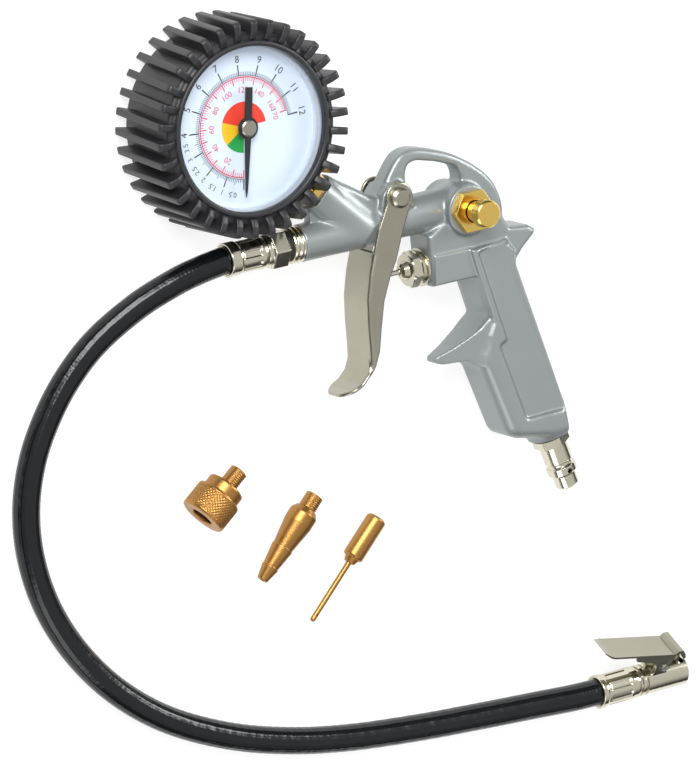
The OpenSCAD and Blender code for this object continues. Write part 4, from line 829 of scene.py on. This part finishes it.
# %% All fins
FIN_COUNT, BOOT_H = 34, 38.6
lean, deep = math.radians(5.0), fin[:, 2] - BOOT_H
leaned_y = fin[:, 1] * math.cos(lean) + deep * math.sin(lean)
leaned_z = BOOT_H + deep * math.cos(lean) - fin[:, 1] * math.sin(lean)
turns = np.radians(-1.0 + 360.0 * np.arange(FIN_COUNT) / FIN_COUNT)[:, None]
fins = np.stack([np.cos(turns) * fin[:, 0] - np.sin(turns) * leaned_y,
                 np.sin(turns) * fin[:, 0] + np.cos(turns) * leaned_y,
                 np.repeat(leaned_z[None], FIN_COUNT, 0)], -1).reshape(-1, 3)
steps = (np.arange(FIN_COUNT) * len(fin))[:, None, None]
put("boot_fins", fins, [(sides[None] + steps).reshape(-1, 4), (caps[None] + steps).reshape(-1, 3)],
    "gun", "boot_rubber", ["rubber_boot"])
print("boot has", FIN_COUNT, "fins")

# %% [markdown]
# ## Rubber boot: the cup
# Between the fins stands the cup, with a rolled lip that holds the gauge. It is round about Z, so
# a line of (radius, height) points from the middle of its bottom to the inside of its lip is
# turned once round.

# %% The cup
CUP = np.array([[0.05, 0], [30, 0], [38.3, 0], [39.4, 0.3], [39.95, 1], [40.2, 2],
                [40.2, 20], [40.2, 33.4], [40, 34.5], [39.3, 35.2], [38.2, 35.4], [37.4, 35.7],
                [37, 36.3], [36.8, 36.9], [36.3, 37.2], [35.5, 37.2], [34.9, 37], [34.62, 36.5],
                [34.6, 35.6], [34.6, 34.2]])
CUP_POINTS = 256
a = np.linspace(0, 2 * np.pi, CUP_POINTS, endpoint=False)
cup = np.stack([CUP[:, None, 0] * np.cos(a), CUP[:, None, 0] * np.sin(a),
                np.repeat(CUP[:, 1:], CUP_POINTS, 1)], -1).reshape(-1, 3)
put("boot_cup", cup, grid_faces(len(CUP), CUP_POINTS), "gun", "boot_rubber",
    ["rubber_boot"])
print("turned the cup")

# %% [markdown]
# ## Dial printing: ticks and arcs
# The dial is printed with two scales over 260 degrees: black outside, and red inside with a finer
# unit, of which one is 0.0689 of the outer. An image would blur when one comes close, so the ink
# is thin flat faces, 0.03 mm over the white plate. A value v of the outer scale stands at the
# angle -97 - 260 v / 12.

# %% Ticks and arcs
INK_Z = 29.03
FIRST, SWEEP, TOP_VALUE = -97.0, 260.0, 12.0
RED_UNIT = 0.0689476


def angle_of(value):
    """Direction of a value on the outer scale, in radians."""
    return np.radians(FIRST - SWEEP * np.asarray(value, float) / TOP_VALUE)


def strokes(angles, inner, outer, width):
    """Points and faces of ticks: the four corners lie at (inner or outer, half the width to
    either side), turned to the tick's angle."""
    a = np.asarray(angles, float)[:, None]
    inner = np.broadcast_to(inner, a.shape[:1])[:, None]
    outer = np.broadcast_to(outer, a.shape[:1])[:, None]
    out = np.hstack([inner, outer, outer, inner])
    aside = np.array([[-0.5, -0.5, 0.5, 0.5]]) * width
    points = np.stack([out * np.cos(a) - aside * np.sin(a), out * np.sin(a) + aside * np.cos(a),
                       np.full(out.shape, INK_Z)], -1).reshape(-1, 3)
    return points, np.arange(len(points)).reshape(-1, 4)


def band(start, end, inner, outer, steps=72):
    """Points and faces of a ring sector from the angle start to end, in degrees."""
    a = np.radians(np.linspace(start, end, steps + 1))[:, None]
    r = np.array([[inner, outer]])
    points = np.stack([r * np.cos(a), r * np.sin(a), np.full((steps + 1, 2), INK_Z)], -1)
    i = 2 * np.arange(steps)[:, None]
    return points.reshape(-1, 3), i + np.array([[0, 2, 3, 1]])


print("ticks ready")

# %% [markdown]
# ## Dial printing: numbers
# Each number stands upright on its circle. The built-in font gives its outline as a flat curve;
# the curve is filled and read as a mesh, and its points are moved to the circle and turned. The
# curve is deleted again, and all ink of one colour becomes one object.

# %% Numbers
CAP_HEIGHT = 0.72


def number(value, height, radius, angle):
    """Points and faces of a number whose digits are that high, on a circle of that radius."""
    curve = bpy.data.curves.new("number", "FONT")
    curve.body, curve.align_x, curve.align_y = str(value), "CENTER", "CENTER"
    curve.resolution_u, curve.size = 3, height / CAP_HEIGHT
    o = bpy.data.objects.new("number", curve)
    data = bpy.data.meshes.new_from_object(o)
    data.calc_loop_triangles()
    p = np.empty(len(data.vertices) * 3)
    data.vertices.foreach_get("co", p)
    t = np.empty(len(data.loop_triangles) * 3, int)
    data.loop_triangles.foreach_get("vertices", t)
    bpy.data.objects.remove(o)
    bpy.data.curves.remove(curve)
    bpy.data.meshes.remove(data)
    p = p.reshape(-1, 3)
    middle = (p[:, :2].max(0) + p[:, :2].min(0)) / 2
    x, y = p[:, 0] - middle[0], p[:, 1] - middle[1] + radius
    turn = angle - np.pi / 2
    points = np.stack([x * np.cos(turn) - y * np.sin(turn), x * np.sin(turn) + y * np.cos(turn),
                       np.full(len(x), INK_Z)], -1)
    return points, t.reshape(-1, 3)


def ink(name, parts, look):
    """Joins printed parts of one colour into one thin object on the dial."""
    start = np.cumsum([0] + [len(p) for p, _ in parts])[:-1]
    points = np.vstack([p for p, _ in parts])
    none = [np.zeros((0, 3), int)]
    triangles = [f + s for (_, f), s in zip(parts, start) if f.shape[1] == 3]
    quads = [f + s for (_, f), s in zip(parts, start) if f.shape[1] == 4]
    return put(name, points, [np.vstack(triangles or none), np.vstack(quads)], "gun", look,
               smooth=False)


print("numbers ready")

# %% [markdown]
# ## Dial printing: the black scale
# A tick stands at every tenth, and a long bold one at every whole value. Below 4 the halves
# have a longer tick and a number too, and the digits are smaller.

# %% Black scale
tenths = np.round(np.arange(0, 12.01, 0.1), 1)
whole, half = tenths % 1 == 0, tenths % 1 == 0.5
tick_end = np.where(half & (tenths < 4), 24.2, 23.2)[~whole]
black = [strokes(angle_of(tenths[~whole]), 21.7, tick_end, 0.27),
         strokes(angle_of(tenths[whole]), 21.5, 26.2, 0.55), band(-97, -357, 21.5, 21.75)]
for value in (0.5, 1, 1.5, 2, 2.5, 3, 3.5):
    black.append(number(value, 2.3, 28.4, float(angle_of(value))))
for value in range(4, 13):
    black.append(number(value, 3.1, 28.6, float(angle_of(value))))
ink("ink_black", black, "ink_black")
print("printed", len(tenths), "black ticks")

# %% [markdown]
# ## Dial printing: the red scale and the sectors
# The red scale has a tick at every 2 and a bold one at every 10. The three sectors in the middle
# show at a glance whether the pressure is low, medium or high.

# %% Red scale and sectors
twos = np.arange(0, 172, 2.0)
ten = twos % 10 == 0
red = [strokes(angle_of(twos[~ten] * RED_UNIT), 19.2, 20.9, 0.30),
       strokes(angle_of(twos[ten] * RED_UNIT), 18.0, 20.9, 0.50), band(-97, -352, 20.75, 21.2)]
for value in (20, 40, 60, 80, 100, 120, 140, 160, 170):
    red.append(number(value, 2.5, 15.6, float(angle_of(value * RED_UNIT))))
ink("ink_red", red, "ink_red")
for colour, start, end in (("green", -97, -146), ("yellow", -146, -200.4), ("red", -200.4, -357.5)):
    ink("sector_" + colour, [band(start, end, 0.4, 10.7)], "sector_" + colour)
print("printed", len(twos), "red ticks and three sectors")

# %% [markdown]
# ## Floor
# The photograph has a plain white ground with hardly a shadow, as when a product lies on a lit
# table. So the floor itself glows, and the lamps add only the rest.

# %% Floor
REACH = 6
floor = bpy.data.meshes.new("floor")
floor.from_pydata([(-REACH, -REACH, 0), (REACH, -REACH, 0), (REACH, REACH, 0), (-REACH, REACH, 0)],
                  [], [(0, 1, 2, 3)])
floor_object = bpy.data.objects.new("floor", floor)
bpy.context.scene.collection.objects.link(floor_object)
floor_look = material("floor", (0.30, 0.30, 0.30), rough=0.9)
floor_tree = floor_look.node_tree
feed(floor_tree, floor_tree.nodes["Principled BSDF"],
     {"Emission Color": (1.0, 1.0, 1.0, 1.0), "Emission Strength": 0.80})
floor.materials.append(floor_look)
print("laid the floor")

# %% [markdown]
# ## Surroundings
# Bright metal shows what is round it. In an even white room it would look flat, so the world is
# white overhead and dark at the horizon: edges and flanks turn dark, tops stay bright.

# %% Surroundings
world = bpy.data.worlds.new("world")
bpy.context.scene.world = world
world.use_nodes = True
sky = world.node_tree
sky_way = add_node(sky, "TexCoord", {})
sky_parts = add_node(sky, "SeparateXYZ", {"Vector": sky_way.outputs["Generated"]})
sky_tone = add_node(sky, "MapRange", {"Value": sky_parts.outputs["Z"], "From Min": 0.20,
                                      "From Max": 0.80, "To Min": 0.07, "To Max": 1.0})
sky_tone.interpolation_type = "SMOOTHSTEP"
feed(sky, sky.nodes["Background"], {"Color": sky_tone.outputs["Result"], "Strength": 0.75})
print("made the surroundings")

# %% [markdown]
# ## Lamps
# Three square lamps stand for the studio's soft boxes. The key lamp makes the long highlight on
# the hose, the barrel and the fins; the other two keep the far sides from going black.

# %% Lamps
MIDDLE = Vector((0.0, -0.1, 0.0))


def lamp(name, place, size, watts):
    """A square area lamp at a place, turned towards the middle of the object."""
    data = bpy.data.lights.new(name, "AREA")
    data.size, data.energy = size, watts
    o = bpy.data.objects.new(name, data)
    bpy.context.scene.collection.objects.link(o)
    o.location = place
    o.rotation_mode = "QUATERNION"
    o.rotation_quaternion = (MIDDLE - Vector(place)).to_track_quat("-Z", "Y")


lamp("key", (-0.7, 1.1, 1.5), 1.0, 40)
lamp("side", (1.4, 0.3, 0.9), 0.6, 12)
lamp("front", (-0.9, -1.3, 0.9), 0.9, 7)
bpy.context.scene.view_settings.view_transform = "Standard"
print("lit")
